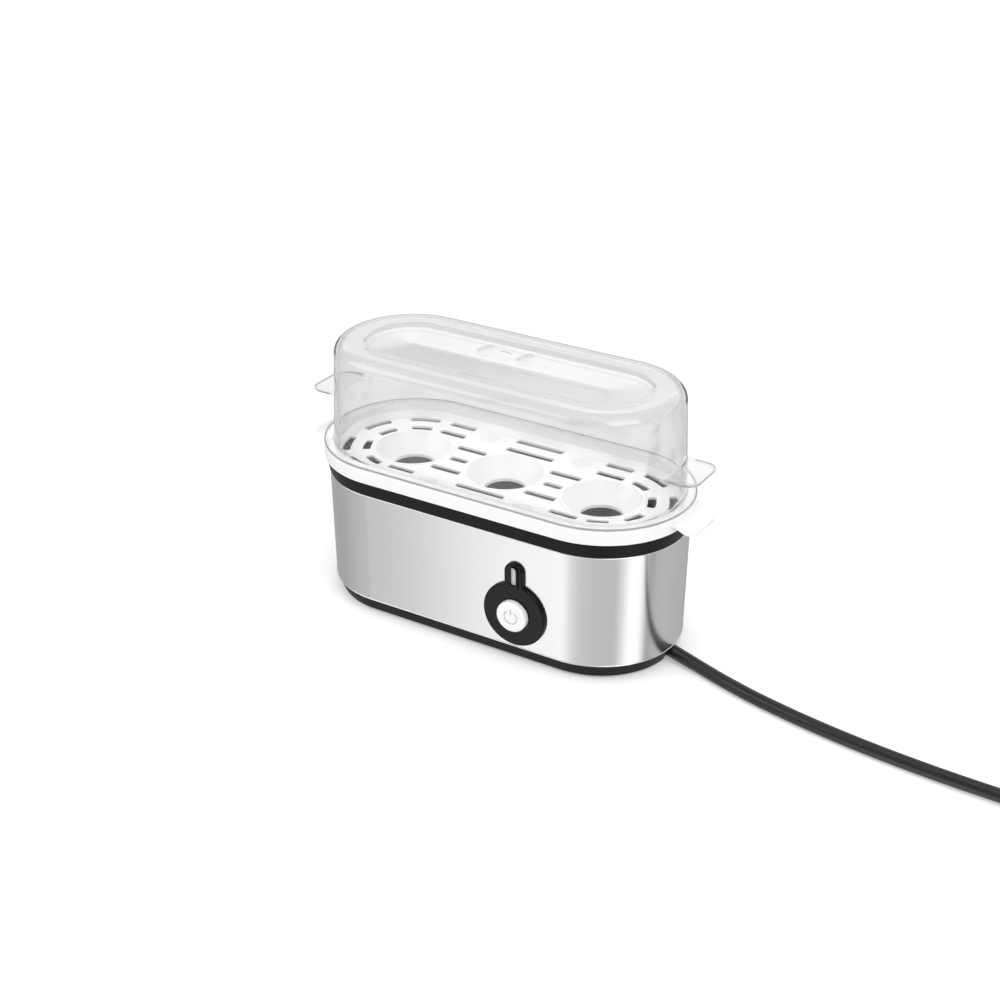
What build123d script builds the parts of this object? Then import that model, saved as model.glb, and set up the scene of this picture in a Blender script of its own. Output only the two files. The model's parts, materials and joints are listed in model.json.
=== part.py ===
from build123d import *
import math
import os

# An electric egg cooker that steams three eggs in a row. A clear lid stands on a white egg
# tray, the tray stands on a black collar round a stainless water basin, and a brushed steel
# sleeve and a black base close the housing. Under the basin sit the tubular heater, its
# thermostat and fuse; a latching push button and a neon lamp are in a keyhole plate on the
# front. The earthed mains lead leaves at the right-hand end.
# Millimetres, +Z up, -Y is the front, +X is the end with the lead. The origin is under the
# middle of the base, at the height of the surface that the feet stand on.

# Every outline of the housing, tray and lid is a long oval: two half circles whose centres
# are this far apart. The radii below are the half widths of those ovals.
END_SPACING = 112.0
TOUCH_GAP = 0.3
SLIDE_GAP = 0.4
FIT_GAP = 0.1

# Black base with four rubber feet
FOOT_PROUD = 1.2
FOOT_R = 6.0
FOOT_BOSS_WALL = 1.6
FOOT_SEAT_DEPTH = 1.6
FOOT_OFFSET = (20.0, 20.0)
BASE_FLARE = 3.2
BASE_BAND_HEIGHT = 7.3
BASE_FLOOR_T = 1.6
BASE_WALL_T = 1.8
BASE_TONGUE_CLEAR = 1.2
BASE_EDGE_ROUND = 1.0
BASE_RIB_T = 1.6
BASE_RIB_LENGTH = 18.0
BASE_RIB_HEIGHT = 6.0

# Brushed steel sleeve, wider at the top
SLEEVE_TOP_R = 43.9
SLEEVE_DRAFT = 1.0
SLEEVE_HEIGHT = 61.5
SLEEVE_T = 0.5

# Black collar that carries the basin and the tray
COLLAR_HEIGHT = 7.8
COLLAR_FLARE = 1.9
COLLAR_RIM_WIDTH = 5.3
COLLAR_LEDGE_WIDTH = 1.6
COLLAR_LEDGE_DROP = 5.3
COLLAR_LEDGE_T = 2.2
COLLAR_TONGUE_T = 1.6
COLLAR_TONGUE_DEPTH = 7.0
COLLAR_ROUND = 0.5

# Stainless water basin, its silicone seal and the posts welded under it
BASIN_T = 0.8
BASIN_WALL_GAP = 0.5
BASIN_DRAFT = 1.4
BASIN_OVER_LAMP = 0.3
BASIN_CORNER_R = 5.0
SEAL_T = 1.0
POST_R = 3.0
POST_LENGTH = 27.7
POST_OFFSET = (4.0, 24.0)
POST_BORE_DEPTH = 14.0

# Heater: an aluminium spreader with a tubular element let into it
SPREADER_T = 3.0
SPREADER_R = 19.0
SPREADER_SET_IN = 36.0
HEATER_R = 3.3
HEATER_LANE = 14.5
HEATER_LET_IN = 1.2
HEATER_TURN_INSET = 2.0
HEATER_BEND_OUTSET = 4.0
HEATER_BEND_R = 8.0
HEATER_LEG = 7.0
HEATER_PIN_R = 1.3
HEATER_PIN_LENGTH = 6.0
THERMOSTAT_R = 8.0
THERMOSTAT_HEIGHT = 9.0
THERMOSTAT_EAR_T = 1.0
FUSE_X = -26.0
FUSE_Y = 7.0
FUSE_R = 2.2
FUSE_LENGTH = 11.0
FUSE_LEAD = 4.0
CLIP_T = 0.8
BLADE_T = 0.8
BLADE_WIDTH = 4.8
BLADE_LENGTH = 6.0
EARTH_BLADE_LENGTH = 9.0

# White egg tray
TRAY_OVERHANG = 0.4
TRAY_RIM_FLARE = 0.4
TRAY_RIM_HEIGHT = 7.7
TRAY_WALL_SET_IN = 0.6
TRAY_WALL_FLARE = 3.2
TRAY_FLOOR_DEPTH = 6.7
TRAY_FLOOR_T = 1.2
TRAY_WALL_T = 1.5
TRAY_GUIDE_DEPTH = 2.0
TRAY_GUIDE_T = 1.2
CUP_SET_IN = 0.25
CUP_BALL_R = 22.3
CUP_LIP_R = 20.0
CUP_LIP_HEIGHT = 0.6
CUP_HOLE_R = 11.0
CUP_T = 1.4
SLOT_WIDTH = 4.3
SLOT_CORNER_R = 1.0
SLOT_ROW_FROM_CUP = 4.6
SLOT_ROW_FROM_WALL = 2.8
BRIDGE_ROW = 12.8
LONG_SLOT = 28.0
SIDE_SLOT = 15.5
BRIDGE_LONG_SLOT = 17.5
BRIDGE_SHORT_SLOT = 10.5
SLOT_ARC = 27.0
DIMPLE_R = 5.5
DIMPLE_HEIGHT = 1.8
TAB_HALF = 14.5
TAB_CORNER_R = 7.5
TRAY_TAB_LENGTH = 9.9
TRAY_TAB_T = 2.0
TRAY_TAB_DROP = 4.2

# Clear lid
LID_FLANGE_SET_IN = 0.3
LID_FLANGE_T = 1.5
LID_FOOT_OUTSET = 0.1
LID_DRAFT = 2.2
LID_HEIGHT = 54.4
LID_T = 1.8
LID_SHOULDER_R = 6.3
LID_GUIDE_DEPTH = 2.6
LID_GUIDE_T = 1.2
LID_RING_WIDTH = 16.4
RECESS_STEP = 1.4
RECESS_FALL = 0.6
VENT_PLACE = (-7.4, 12.1)
VENT_SPACING = 23.1
VENT_LENGTH = 11.0
VENT_WIDTH = 5.6
LID_TAB_SHY = 0.9
LID_TAB_T = 1.8
LID_TAB_HEIGHT = 20.7

# Keyhole plate on the front, with the push button, the lamp and the switch behind it
PANEL_X = 32.2
PANEL_HEIGHT = 28.3
BEZEL_R = 17.5
BEZEL_T = 2.0
BEZEL_ROUND = 0.9
NECK_WIDTH = 10.6
NECK_TOP = 29.1
HOOD_WALL = 1.1
HOOD_PROUD = 0.6
LENS_WIDTH = 3.3
LENS_BOTTOM = 16.7
LENS_TOP = 26.9
LENS_SHY = 1.0
BUTTON_R = 8.3
BUTTON_PROUD = 3.0
BUTTON_TRAVEL = 2.6
BUTTON_FLANGE_R = 9.7
BUTTON_FLANGE_T = 1.5
BARREL_WALL = 2.5
BARREL_DEPTH = 8.0
SWITCH_SIDE = 14.0
SWITCH_DEPTH = 15.0
SWITCH_EAR_T = 2.0
PLUNGER_SIDE = 5.8
PLUNGER_LENGTH = 5.0
STEM_R = 2.5
LAMP_R = 2.2
LAMP_LENGTH = 9.0

# Screws
HOUSING_SCREW_R = 1.75
HOUSING_SCREW_HEAD_R = 3.4
SMALL_SCREW_R = 1.0
SMALL_SCREW_HEAD_R = 1.9
SMALL_SCREW_LENGTH = 6.0
CLAMP_SCREW_R = 1.4
CLAMP_SCREW_HEAD_R = 2.6
SCREW_HEAD_T = 1.8

# Mains lead
CORD_D = 6.5
RELIEF_YAW = -14.0
RELIEF_PITCH = 4.5
RELIEF_R = 3.5
RELIEF_END_R = 3.32
RELIEF_OUTSIDE = 15.0
RELIEF_INSIDE = 8.6
RELIEF_HEIGHT = 5.1
RELIEF_COLLAR_T = 2.0
RELIEF_COLLAR_HALF = 5.5
STUB_LENGTH = 8.0
CLAMP_WIDTH = 6.0
CLAMP_HALF = 8.0
CLAMP_HEIGHT = 3.6
CLAMP_T = 5.0
CORE_R = 1.0
CORE_SPREAD = 2.1
WIRE_R = 1.1
WIRE_BEND_R = 6.0
TERMINAL_GAP = 4.8
TERMINAL_LENGTH = 15.0
TERMINAL_HEIGHT = 10.2
TERMINAL_BORE_HEIGHT = 5.2

# The lead's free stretch lies on the surface: points chosen by hand, after the relief's end.
CORD_LEAVES = 7.0
CORD_POINTS = [
    (130.6, -9.6, 3.35),
    (155.2, -16.7, 3.35),
    (195.4, -24.2, 3.35),
    (240.2, -28.4, 3.35),
    (284.0, -30.5, 4.20),
    (309.5, -30.5, 4.20),
]

# The rest of the lead is wound up: a little over two turns, one layer in, the next one out.
COIL_CENTRE = (316.0, 8.0)
COIL_OUTER_R = 38.5
COIL_PITCH = 7.0
COIL_RISE = 7.0
COIL_TURNS_IN = 1.25
COIL_TURNS = 2.25
COIL_FLOOR = 4.2
COIL_LEAD_OUT = 12.0
TIE_T = 0.6
TIE_WIDTH = 5.0
TIE_GAP = 0.3

# Angled earthed plug, lying on its back
PLUG_R = 18.5
PLUG_HEIGHT = 31.0
PLUG_TAIL_LENGTH = 30.0
PLUG_TAIL_R = 5.5
PLUG_TAIL_END_R = 3.7
PLUG_FACE_DEPTH = 14.0
PIN_R = 2.4
PIN_LENGTH = 19.0
PIN_SPACING = 19.0
PIN_TIP_ROUND = 1.2
PIN_ROOT_R = 1.8
PIN_SEAT = 6.0
EARTH_HOLE_R = 2.4
EARTH_HOLE_OFFSET = 10.0
EARTH_CLIP_WIDTH = 5.0
EARTH_CLIP_T = 0.8

# Half widths that follow from the sizes above
HALF = END_SPACING / 2
SLEEVE_BOTTOM_R = SLEEVE_TOP_R - SLEEVE_DRAFT
BASE_EDGE_R = SLEEVE_BOTTOM_R - BASE_FLARE
COLLAR_TOP_R = SLEEVE_TOP_R + COLLAR_FLARE
COLLAR_MOUTH_R = COLLAR_TOP_R - COLLAR_RIM_WIDTH
COLLAR_LEDGE_R = COLLAR_MOUTH_R - COLLAR_LEDGE_WIDTH
TRAY_FOOT_R = COLLAR_TOP_R + TRAY_OVERHANG
TRAY_RIM_R = TRAY_FOOT_R + TRAY_RIM_FLARE
TRAY_GUIDE_R = COLLAR_MOUTH_R - SLIDE_GAP
TRAY_FLOOR_R = TRAY_GUIDE_R - TRAY_WALL_SET_IN - TRAY_WALL_T
TRAY_TOP_INNER_R = TRAY_FLOOR_R + TRAY_WALL_FLARE
LID_FLANGE_R = TRAY_RIM_R - LID_FLANGE_SET_IN
LID_FOOT_R = TRAY_TOP_INNER_R + LID_FOOT_OUTSET
LID_TOP_R = LID_FOOT_R - LID_DRAFT
RECESS_R = LID_TOP_R - LID_RING_WIDTH
TRAY_TAB_END = HALF + TRAY_RIM_R + TRAY_TAB_LENGTH
LID_TAB_END = TRAY_TAB_END - LID_TAB_SHY
EGG_PITCH = HALF - CUP_SET_IN
SLOT_ROW_INNER = CUP_LIP_R + SLOT_ROW_FROM_CUP
SLOT_ROW_OUTER = TRAY_FLOOR_R - SLOT_ROW_FROM_WALL
DIMPLE_PLACE = (EGG_PITCH / 2, (SLOT_ROW_INNER + SLOT_ROW_OUTER) / 2)
SPREADER_SPACING = END_SPACING - SPREADER_SET_IN

# Heights that follow from the sizes above
BASE_Z = FOOT_PROUD
BASE_FLOOR_TOP = BASE_Z + BASE_FLOOR_T
SLEEVE_Z = BASE_Z + BASE_BAND_HEIGHT + FIT_GAP
COLLAR_Z = SLEEVE_Z + SLEEVE_HEIGHT
COLLAR_TOP = COLLAR_Z + COLLAR_HEIGHT
LEDGE_TOP = COLLAR_TOP - COLLAR_LEDGE_DROP
BASIN_TOP = LEDGE_TOP + SEAL_T + BASIN_T
BASIN_UNDER = PANEL_HEIGHT + NECK_TOP + BASIN_OVER_LAMP
BASIN_FLOOR = BASIN_UNDER + BASIN_T
POST_END = BASIN_UNDER - POST_LENGTH
SPREADER_Z = BASIN_UNDER - SPREADER_T
HEATER_Z = SPREADER_Z + HEATER_LET_IN - HEATER_R
HEATER_TURN_X = HEATER_TURN_INSET - SPREADER_SPACING / 2
HEATER_BEND_X = SPREADER_SPACING / 2 + HEATER_BEND_OUTSET
HEATER_END_X = HEATER_BEND_X + HEATER_BEND_R
HEATER_END_Z = HEATER_Z - HEATER_BEND_R - HEATER_LEG
HEATER_PIN_Z = HEATER_END_Z - HEATER_PIN_LENGTH
THERMOSTAT_Z = SPREADER_Z - THERMOSTAT_HEIGHT
THERMOSTAT_EAR_X = THERMOSTAT_R + 3.0
FUSE_Z = SPREADER_Z - FUSE_R - 0.2
EARTH_TAG_X = SPREADER_SPACING / 2 + SPREADER_R - 5.0
TRAY_FOOT = COLLAR_TOP + TOUCH_GAP
TRAY_TOP = TRAY_FOOT + TRAY_RIM_HEIGHT
TRAY_FLOOR = TRAY_TOP - TRAY_FLOOR_DEPTH
TRAY_SLOPE = (TRAY_TOP_INNER_R - TRAY_FLOOR_R) / TRAY_FLOOR_DEPTH
CUP_BALL_Z = TRAY_FLOOR + CUP_LIP_HEIGHT + math.sqrt(CUP_BALL_R**2 - CUP_LIP_R**2)
LID_Z = TRAY_TOP + FIT_GAP
LID_TOP = LID_Z + LID_HEIGHT
RECESS_FLOOR = LID_TOP - RECESS_STEP
SLEEVE_LEAN = math.atan2(SLEEVE_TOP_R - SLEEVE_BOTTOM_R, SLEEVE_HEIGHT)
BASIN_MOUTH_R = COLLAR_LEDGE_R - BASIN_WALL_GAP - BASIN_T
BASIN_FLOOR_R = BASIN_MOUTH_R - BASIN_DRAFT
FOOT_PLACE = (HALF + FOOT_OFFSET[0], FOOT_OFFSET[1])
POST_PLACE = (HALF + POST_OFFSET[0], POST_OFFSET[1])


def sleeve_radius(z):
    """The steel sleeve's outer radius at a height."""
    return SLEEVE_BOTTOM_R + (z - SLEEVE_Z) * math.tan(SLEEVE_LEAN)


PANEL = Plane(
    origin=(PANEL_X, -sleeve_radius(PANEL_HEIGHT), PANEL_HEIGHT),
    x_dir=(1, 0, 0),
    z_dir=(0, -math.cos(SLEEVE_LEAN), -math.sin(SLEEVE_LEAN)),
)
BARREL_R = BUTTON_FLANGE_R + SLIDE_GAP + BARREL_WALL
BASE_TONGUE_TOP = PANEL_HEIGHT - BARREL_R - BASE_TONGUE_CLEAR
EAR_SCREW_X = BARREL_R - BARREL_WALL / 2
EAR_FRONT = -BARREL_DEPTH - FIT_GAP
STEM_END = EAR_FRONT - 1.0
BLADE_X = SWITCH_SIDE / 4
BLADE_END = EAR_FRONT - SWITCH_EAR_T - SWITCH_DEPTH - BLADE_LENGTH

YAW = math.radians(RELIEF_YAW)
PITCH = math.radians(RELIEF_PITCH)
RELIEF_DIR = Vector(math.cos(YAW) * math.cos(PITCH), math.sin(YAW) * math.cos(PITCH), -math.sin(PITCH))
RELIEF_ORIGIN = Vector(HALF + BASE_EDGE_R + 1.5, 0, RELIEF_HEIGHT)
RELIEF = Plane(origin=RELIEF_ORIGIN, z_dir=RELIEF_DIR)
RELIEF_END = RELIEF_ORIGIN + RELIEF_DIR * RELIEF_OUTSIDE
STUB_END = RELIEF_ORIGIN - RELIEF_DIR * (RELIEF_INSIDE + STUB_LENGTH)
CLAMP_AT = RELIEF_ORIGIN - RELIEF_DIR * (RELIEF_INSIDE + STUB_LENGTH / 2)
CLAMP_Z = BASE_FLOOR_TOP + CLAMP_HEIGHT
TERMINAL_RIGHT = STUB_END.X - TERMINAL_GAP
TERMINAL_LEFT = TERMINAL_RIGHT - TERMINAL_LENGTH
TERMINAL_Y = STUB_END.Y
TERMINAL_PITCH = (FOOT_PLACE[1] - FOOT_R - FOOT_BOSS_WALL - TOUCH_GAP - TERMINAL_Y) / 1.5
TERMINAL_TOP = BASE_FLOOR_TOP + TERMINAL_HEIGHT
TERMINAL_BORE_Z = BASE_FLOOR_TOP + TERMINAL_BORE_HEIGHT


def section(*points):
    """A closed half section. Each point is radius, height and, where rounded, the corner's radius."""
    radii = [p[2] if len(p) > 2 else 0 for p in points]
    outline = FilletPolyline(*[(p[0], p[1]) for p in points], radius=radii, close=True)
    return Plane.XZ * make_face(outline)


def oval_ring(face):
    """Carries a half section round the long oval: two straight stretches and two half turns."""
    front = Rot(0, 0, -90) * face
    straight = Pos(-HALF, 0, 0) * extrude(front, amount=END_SPACING, dir=(1, 0, 0))
    end = Pos(HALF, 0, 0) * revolve(front, axis=Axis.Z, revolution_arc=180)
    half = straight + end
    return half + Rot(0, 0, 180) * half


def oval_block(radius, low, high):
    """A solid long oval from one height to another."""
    return Pos(0, 0, low) * extrude(SlotCenterToCenter(END_SPACING, 2 * radius), amount=high - low)


def upright(x, y, radius, low, high):
    """A vertical cylinder from one height to another."""
    return Pos(x, y, (low + high) / 2) * Cylinder(radius, high - low)


def box(x, y, z):
    """A block between a low and a high value on each axis."""
    centre = [(pair[0] + pair[1]) / 2 for pair in (x, y, z)]
    return Pos(*centre) * Box(x[1] - x[0], y[1] - y[0], z[1] - z[0])


def corners(place):
    """The same place in all four quarters."""
    return [(sx * place[0], sy * place[1]) for sx in (-1, 1) for sy in (-1, 1)]


def corner_radii(points, most=1e9):
    """Each corner's radius: 0.45 of the shorter run over the tangent of half the turn, or a limit."""
    radii = []
    for a, b, c in zip(points, points[1:], points[2:]):
        before = Vector(b) - Vector(a)
        after = Vector(c) - Vector(b)
        turn = math.radians(before.get_angle(after))
        radii.append(min(0.45 * min(before.length, after.length) / math.tan(turn / 2), most))
    return radii


def rod_along(path, radius):
    """A round rod swept along a path, square to it at its start."""
    start = Plane(origin=path @ 0, z_dir=path % 0)
    return sweep(start * Circle(radius), path=path)


def wire_along(points, radius=WIRE_R):
    """A wire along straight runs with tangent arcs at the corners."""
    return rod_along(FilletPolyline(*points, radius=corner_radii(points, WIRE_BEND_R)), radius)


def panel_point(x, y, z):
    """A point given across, up and outward on the front panel, in the part's own axes."""
    return PANEL.from_local_coords(Vector(x, y, z))


# Housing

def make_base():
    """Moulded base: floor, flared wall with a tongue up inside the sleeve, screw posts and seats."""
    top = BASE_Z + BASE_BAND_HEIGHT
    tongue_r = SLEEVE_BOTTOM_R - SLEEVE_T - TOUCH_GAP
    lip_r = SLEEVE_BOTTOM_R - TOUCH_GAP
    shell = oval_ring(section(
        (0, BASE_Z), (BASE_EDGE_R, BASE_Z, BASE_EDGE_ROUND), (lip_r, top), (tongue_r, top),
        (tongue_r, BASE_TONGUE_TOP), (tongue_r - BASE_WALL_T, BASE_TONGUE_TOP),
        (tongue_r - BASE_WALL_T, top), (BASE_EDGE_R - BASE_WALL_T, BASE_FLOOR_TOP),
        (0, BASE_FLOOR_TOP),
    ))
    post_top = POST_END - TOUCH_GAP
    head_seat = post_top - 7.5
    for x, y in corners(POST_PLACE):
        shell += upright(x, y, HOUSING_SCREW_HEAD_R + 2.0, BASE_FLOOR_TOP - 0.5, post_top)
        shell += box((x - BASE_RIB_T / 2, x + BASE_RIB_T / 2),
                     (y - BASE_RIB_LENGTH / 2, y + BASE_RIB_LENGTH / 2),
                     (BASE_FLOOR_TOP - 0.5, BASE_FLOOR_TOP + BASE_RIB_HEIGHT))
    for x, y in corners(FOOT_PLACE):
        shell += upright(x, y, FOOT_R + FOOT_BOSS_WALL, BASE_FLOOR_TOP - 0.5, BASE_FLOOR_TOP + FOOT_SEAT_DEPTH)
    for x, y in corners(POST_PLACE):
        shell -= upright(x, y, HOUSING_SCREW_HEAD_R + TOUCH_GAP, BASE_Z - 1, head_seat)
        shell -= upright(x, y, HOUSING_SCREW_R + TOUCH_GAP, head_seat - 1, post_top + 1)
    for x, y in corners(FOOT_PLACE):
        shell -= upright(x, y, FOOT_R + FIT_GAP, BASE_Z - 1, BASE_Z + FOOT_SEAT_DEPTH)
    for side in (-1, 1):
        y = CLAMP_AT.Y + side * CLAMP_HALF
        shell += upright(CLAMP_AT.X, y, CLAMP_SCREW_HEAD_R, BASE_FLOOR_TOP - 0.5, CLAMP_Z)
        shell -= upright(CLAMP_AT.X, y, CLAMP_SCREW_R + FIT_GAP, BASE_FLOOR_TOP, CLAMP_Z + 1)
    groove = RELIEF_INSIDE + STUB_LENGTH + 1.0
    reach = groove + RELIEF_OUTSIDE / 2
    shell -= RELIEF.location * Pos(0, 0, reach / 2 - groove) * Cylinder(RELIEF_R + FIT_GAP, reach)
    slot_half = RELIEF_R + FIT_GAP
    shell -= box((RELIEF_ORIGIN.X - BASE_WALL_T - 2.5, RELIEF_ORIGIN.X + 6),
                 (-slot_half - 1.2, slot_half + 1.2), (BASE_Z - 1, RELIEF_HEIGHT - RELIEF_R / 2))
    return shell


def make_feet():
    """Four rubber feet pressed into seats under the base."""
    foot = Cylinder(FOOT_R, FOOT_PROUD + FOOT_SEAT_DEPTH - FIT_GAP)
    foot = chamfer(foot.edges().group_by(Axis.Z)[0], 0.5)
    height = (FOOT_PROUD + FOOT_SEAT_DEPTH - FIT_GAP) / 2
    return [Pos(x, y, height) * foot for x, y in corners(FOOT_PLACE)]


def make_housing_screws():
    """Four long screws that draw the base up to the basin's posts."""
    head_seat = POST_END - TOUCH_GAP - 7.5
    screws = []
    for x, y in corners(POST_PLACE):
        head = upright(x, y, HOUSING_SCREW_HEAD_R, head_seat - 2.4, head_seat)
        head -= Pos(x, y, head_seat - 2.4) * Box(1.0, 4.4, 2.0)
        head -= Pos(x, y, head_seat - 2.4) * Box(4.4, 1.0, 2.0)
        shank_top = POST_END + POST_BORE_DEPTH - 2.0
        screws.append(head + upright(x, y, HOUSING_SCREW_R, head_seat - 0.5, shank_top))
    return screws


def make_sleeve():
    """Steel sleeve: one bent and welded sheet, pierced for the button barrel and the lamp."""
    top = SLEEVE_Z + SLEEVE_HEIGHT
    sleeve = oval_ring(section(
        (SLEEVE_BOTTOM_R - SLEEVE_T, SLEEVE_Z), (SLEEVE_BOTTOM_R, SLEEVE_Z),
        (SLEEVE_TOP_R, top), (SLEEVE_TOP_R - SLEEVE_T, top),
    ))
    sleeve -= PANEL.location * Cylinder(BARREL_R + TOUCH_GAP, 4)
    middle = (LENS_BOTTOM + LENS_TOP) / 2
    window = Box(LENS_WIDTH + 2.6, LENS_TOP - LENS_BOTTOM + 3.2, 4)
    sleeve -= PANEL.location * Pos(0, middle, 0) * window
    return sleeve


def make_collar():
    """Moulded collar: flared rim, ledge for the basin and a tongue down inside the sleeve."""
    tongue_r = SLEEVE_TOP_R - SLEEVE_T - SLIDE_GAP
    return oval_ring(section(
        (SLEEVE_TOP_R, COLLAR_Z), (COLLAR_TOP_R, COLLAR_TOP, COLLAR_ROUND),
        (COLLAR_MOUTH_R, COLLAR_TOP, COLLAR_ROUND), (COLLAR_MOUTH_R, LEDGE_TOP),
        (COLLAR_LEDGE_R, LEDGE_TOP), (COLLAR_LEDGE_R, LEDGE_TOP - COLLAR_LEDGE_T),
        (tongue_r - COLLAR_TONGUE_T, LEDGE_TOP - COLLAR_LEDGE_T),
        (tongue_r - COLLAR_TONGUE_T, COLLAR_Z - COLLAR_TONGUE_DEPTH),
        (tongue_r, COLLAR_Z - COLLAR_TONGUE_DEPTH), (tongue_r, COLLAR_Z),
    ))


# Basin and heater

def make_seal():
    """Silicone seal between the collar's ledge and the basin's flange."""
    return oval_ring(section(
        (COLLAR_LEDGE_R, LEDGE_TOP), (COLLAR_MOUTH_R - FIT_GAP, LEDGE_TOP),
        (COLLAR_MOUTH_R - FIT_GAP, LEDGE_TOP + SEAL_T), (COLLAR_LEDGE_R, LEDGE_TOP + SEAL_T),
    ))


def make_basin():
    """Pressed stainless basin: a flat floor, a rounded corner, a steep wall and a flange."""
    flange_r = COLLAR_MOUTH_R - TOUCH_GAP
    low_flange = BASIN_TOP - BASIN_T
    return oval_ring(section(
        (0, BASIN_UNDER), (BASIN_FLOOR_R + BASIN_T, BASIN_UNDER, BASIN_CORNER_R + BASIN_T),
        (BASIN_MOUTH_R + BASIN_T, low_flange), (flange_r, low_flange),
        (flange_r, BASIN_TOP), (BASIN_MOUTH_R, BASIN_TOP, 1.2),
        (BASIN_FLOOR_R, BASIN_FLOOR, BASIN_CORNER_R), (0, BASIN_FLOOR),
    ))


def make_posts():
    """Four threaded posts welded under the basin's floor."""
    posts = []
    for x, y in corners(POST_PLACE):
        post = upright(x, y, POST_R, POST_END, BASIN_UNDER)
        posts.append(post - upright(x, y, HOUSING_SCREW_R + FIT_GAP, POST_END - 1,
                                    POST_END + POST_BORE_DEPTH))
    return posts


def heater_path():
    """The element's line: down leg, bend, out lane, half turn, back lane, bend, down leg."""
    diagonal = HEATER_BEND_R * (1 - math.sqrt(0.5))

    def half(side):
        y = side * HEATER_LANE
        return [(HEATER_END_X, y, HEATER_END_Z), (HEATER_END_X, y, HEATER_Z - HEATER_BEND_R),
                (HEATER_END_X - diagonal, y, HEATER_Z - diagonal), (HEATER_BEND_X, y, HEATER_Z),
                (HEATER_TURN_X, y, HEATER_Z)]

    out = half(1)
    back = half(-1)
    return Wire([
        Edge.make_line(out[0], out[1]), Edge.make_three_point_arc(out[1], out[2], out[3]),
        Edge.make_line(out[3], out[4]),
        Edge.make_three_point_arc(out[4], (HEATER_TURN_X - HEATER_LANE, 0, HEATER_Z), back[4]),
        Edge.make_line(back[4], back[3]), Edge.make_three_point_arc(back[3], back[2], back[1]),
        Edge.make_line(back[1], back[0]),
    ])


def make_heater(radius=HEATER_R):
    """Tubular element, bent to a hairpin whose two ends turn down."""
    return rod_along(heater_path(), radius)


def make_heater_pins():
    """Cold pins that stand out of the element's two ends, each fused with its ceramic bead."""
    pins = []
    for y in (-HEATER_LANE, HEATER_LANE):
        bead = upright(HEATER_END_X, y, HEATER_R - 0.6, HEATER_END_Z - 2.0, HEATER_END_Z)
        pins.append(bead + upright(HEATER_END_X, y, HEATER_PIN_R, HEATER_PIN_Z, HEATER_END_Z - 1.0))
    return pins


def make_spreader():
    """Cast aluminium spreader under the basin, grooved for the element and drilled for screws."""
    outline = SlotCenterToCenter(SPREADER_SPACING, 2 * SPREADER_R)
    plate = Pos(0, 0, SPREADER_Z) * extrude(outline, amount=SPREADER_T)
    plate -= make_heater(HEATER_R + FIT_GAP / 2)
    for x in (-THERMOSTAT_EAR_X, THERMOSTAT_EAR_X, FUSE_X):
        plate -= upright(x, 0, CLAMP_SCREW_R + FIT_GAP, SPREADER_Z - 1, SPREADER_Z + SPREADER_T - 0.4)
    return plate


def make_thermostat():
    """Snap-disc thermostat: cup against the spreader, moulded body, ears and two blades."""
    cup = upright(0, 0, THERMOSTAT_R, SPREADER_Z - 2.5, SPREADER_Z)
    ear = SlotOverall(2 * THERMOSTAT_EAR_X + 7.0, 6.5)
    ears = Pos(0, 0, SPREADER_Z - THERMOSTAT_EAR_T) * extrude(ear, amount=THERMOSTAT_EAR_T)
    thermostat = cup + ears + upright(0, 0, THERMOSTAT_R - 1.0, THERMOSTAT_Z, SPREADER_Z - 2.0)
    for x in (-THERMOSTAT_R / 2, THERMOSTAT_R / 2):
        thermostat += box((x - BLADE_T / 2, x + BLADE_T / 2), (-BLADE_WIDTH / 2, BLADE_WIDTH / 2),
                          (THERMOSTAT_Z - BLADE_LENGTH, THERMOSTAT_Z + 1))
    for x in (-THERMOSTAT_EAR_X, THERMOSTAT_EAR_X):
        thermostat -= upright(x, 0, CLAMP_SCREW_R + FIT_GAP, SPREADER_Z - 3, SPREADER_Z + 1)
    return thermostat


def make_spreader_screws():
    """The thermostat's two screws and the one that holds the fuse clip."""
    screws = []
    for x, sheet in ((-THERMOSTAT_EAR_X, THERMOSTAT_EAR_T), (THERMOSTAT_EAR_X, THERMOSTAT_EAR_T),
                     (FUSE_X, CLIP_T)):
        under = SPREADER_Z - sheet
        head = upright(x, 0, CLAMP_SCREW_HEAD_R, under - SCREW_HEAD_T, under)
        screws.append(head + upright(x, 0, CLAMP_SCREW_R, under - 0.5, SPREADER_Z + SPREADER_T - 0.8))
    return screws


def make_thermal_fuse():
    """Thermal cut-out: a small can with a lead at each end, held under the spreader."""
    can = Rot(0, 90, 0) * Cylinder(FUSE_R, FUSE_LENGTH)
    leads = Rot(0, 90, 0) * Cylinder(0.6, FUSE_LENGTH + 2 * FUSE_LEAD)
    return Pos(FUSE_X, FUSE_Y, FUSE_Z) * (can + leads)


def make_fuse_clip():
    """Spring steel strap, screwed to the spreader, that wraps under the fuse."""
    loop = FUSE_R + FIT_GAP
    bend = Pos(FUSE_X, FUSE_Y, FUSE_Z) * Rot(0, 90, 0) * (Cylinder(loop + CLIP_T, 6) - Cylinder(loop, 8))
    bend = bend & box((FUSE_X - 4, FUSE_X + 4), (FUSE_Y - loop - CLIP_T, FUSE_Y + loop + CLIP_T),
                      (SPREADER_Z - 4 * FUSE_R, SPREADER_Z))
    strap = box((FUSE_X - 3, FUSE_X + 3), (-3.5, FUSE_Y - loop), (SPREADER_Z - CLIP_T, SPREADER_Z))
    strap -= Pos(FUSE_X, FUSE_Y, FUSE_Z) * Rot(0, 90, 0) * Cylinder(loop, 8)
    return strap + bend - upright(FUSE_X, 0, CLAMP_SCREW_R + FIT_GAP, SPREADER_Z - 3, SPREADER_Z + 1)


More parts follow.
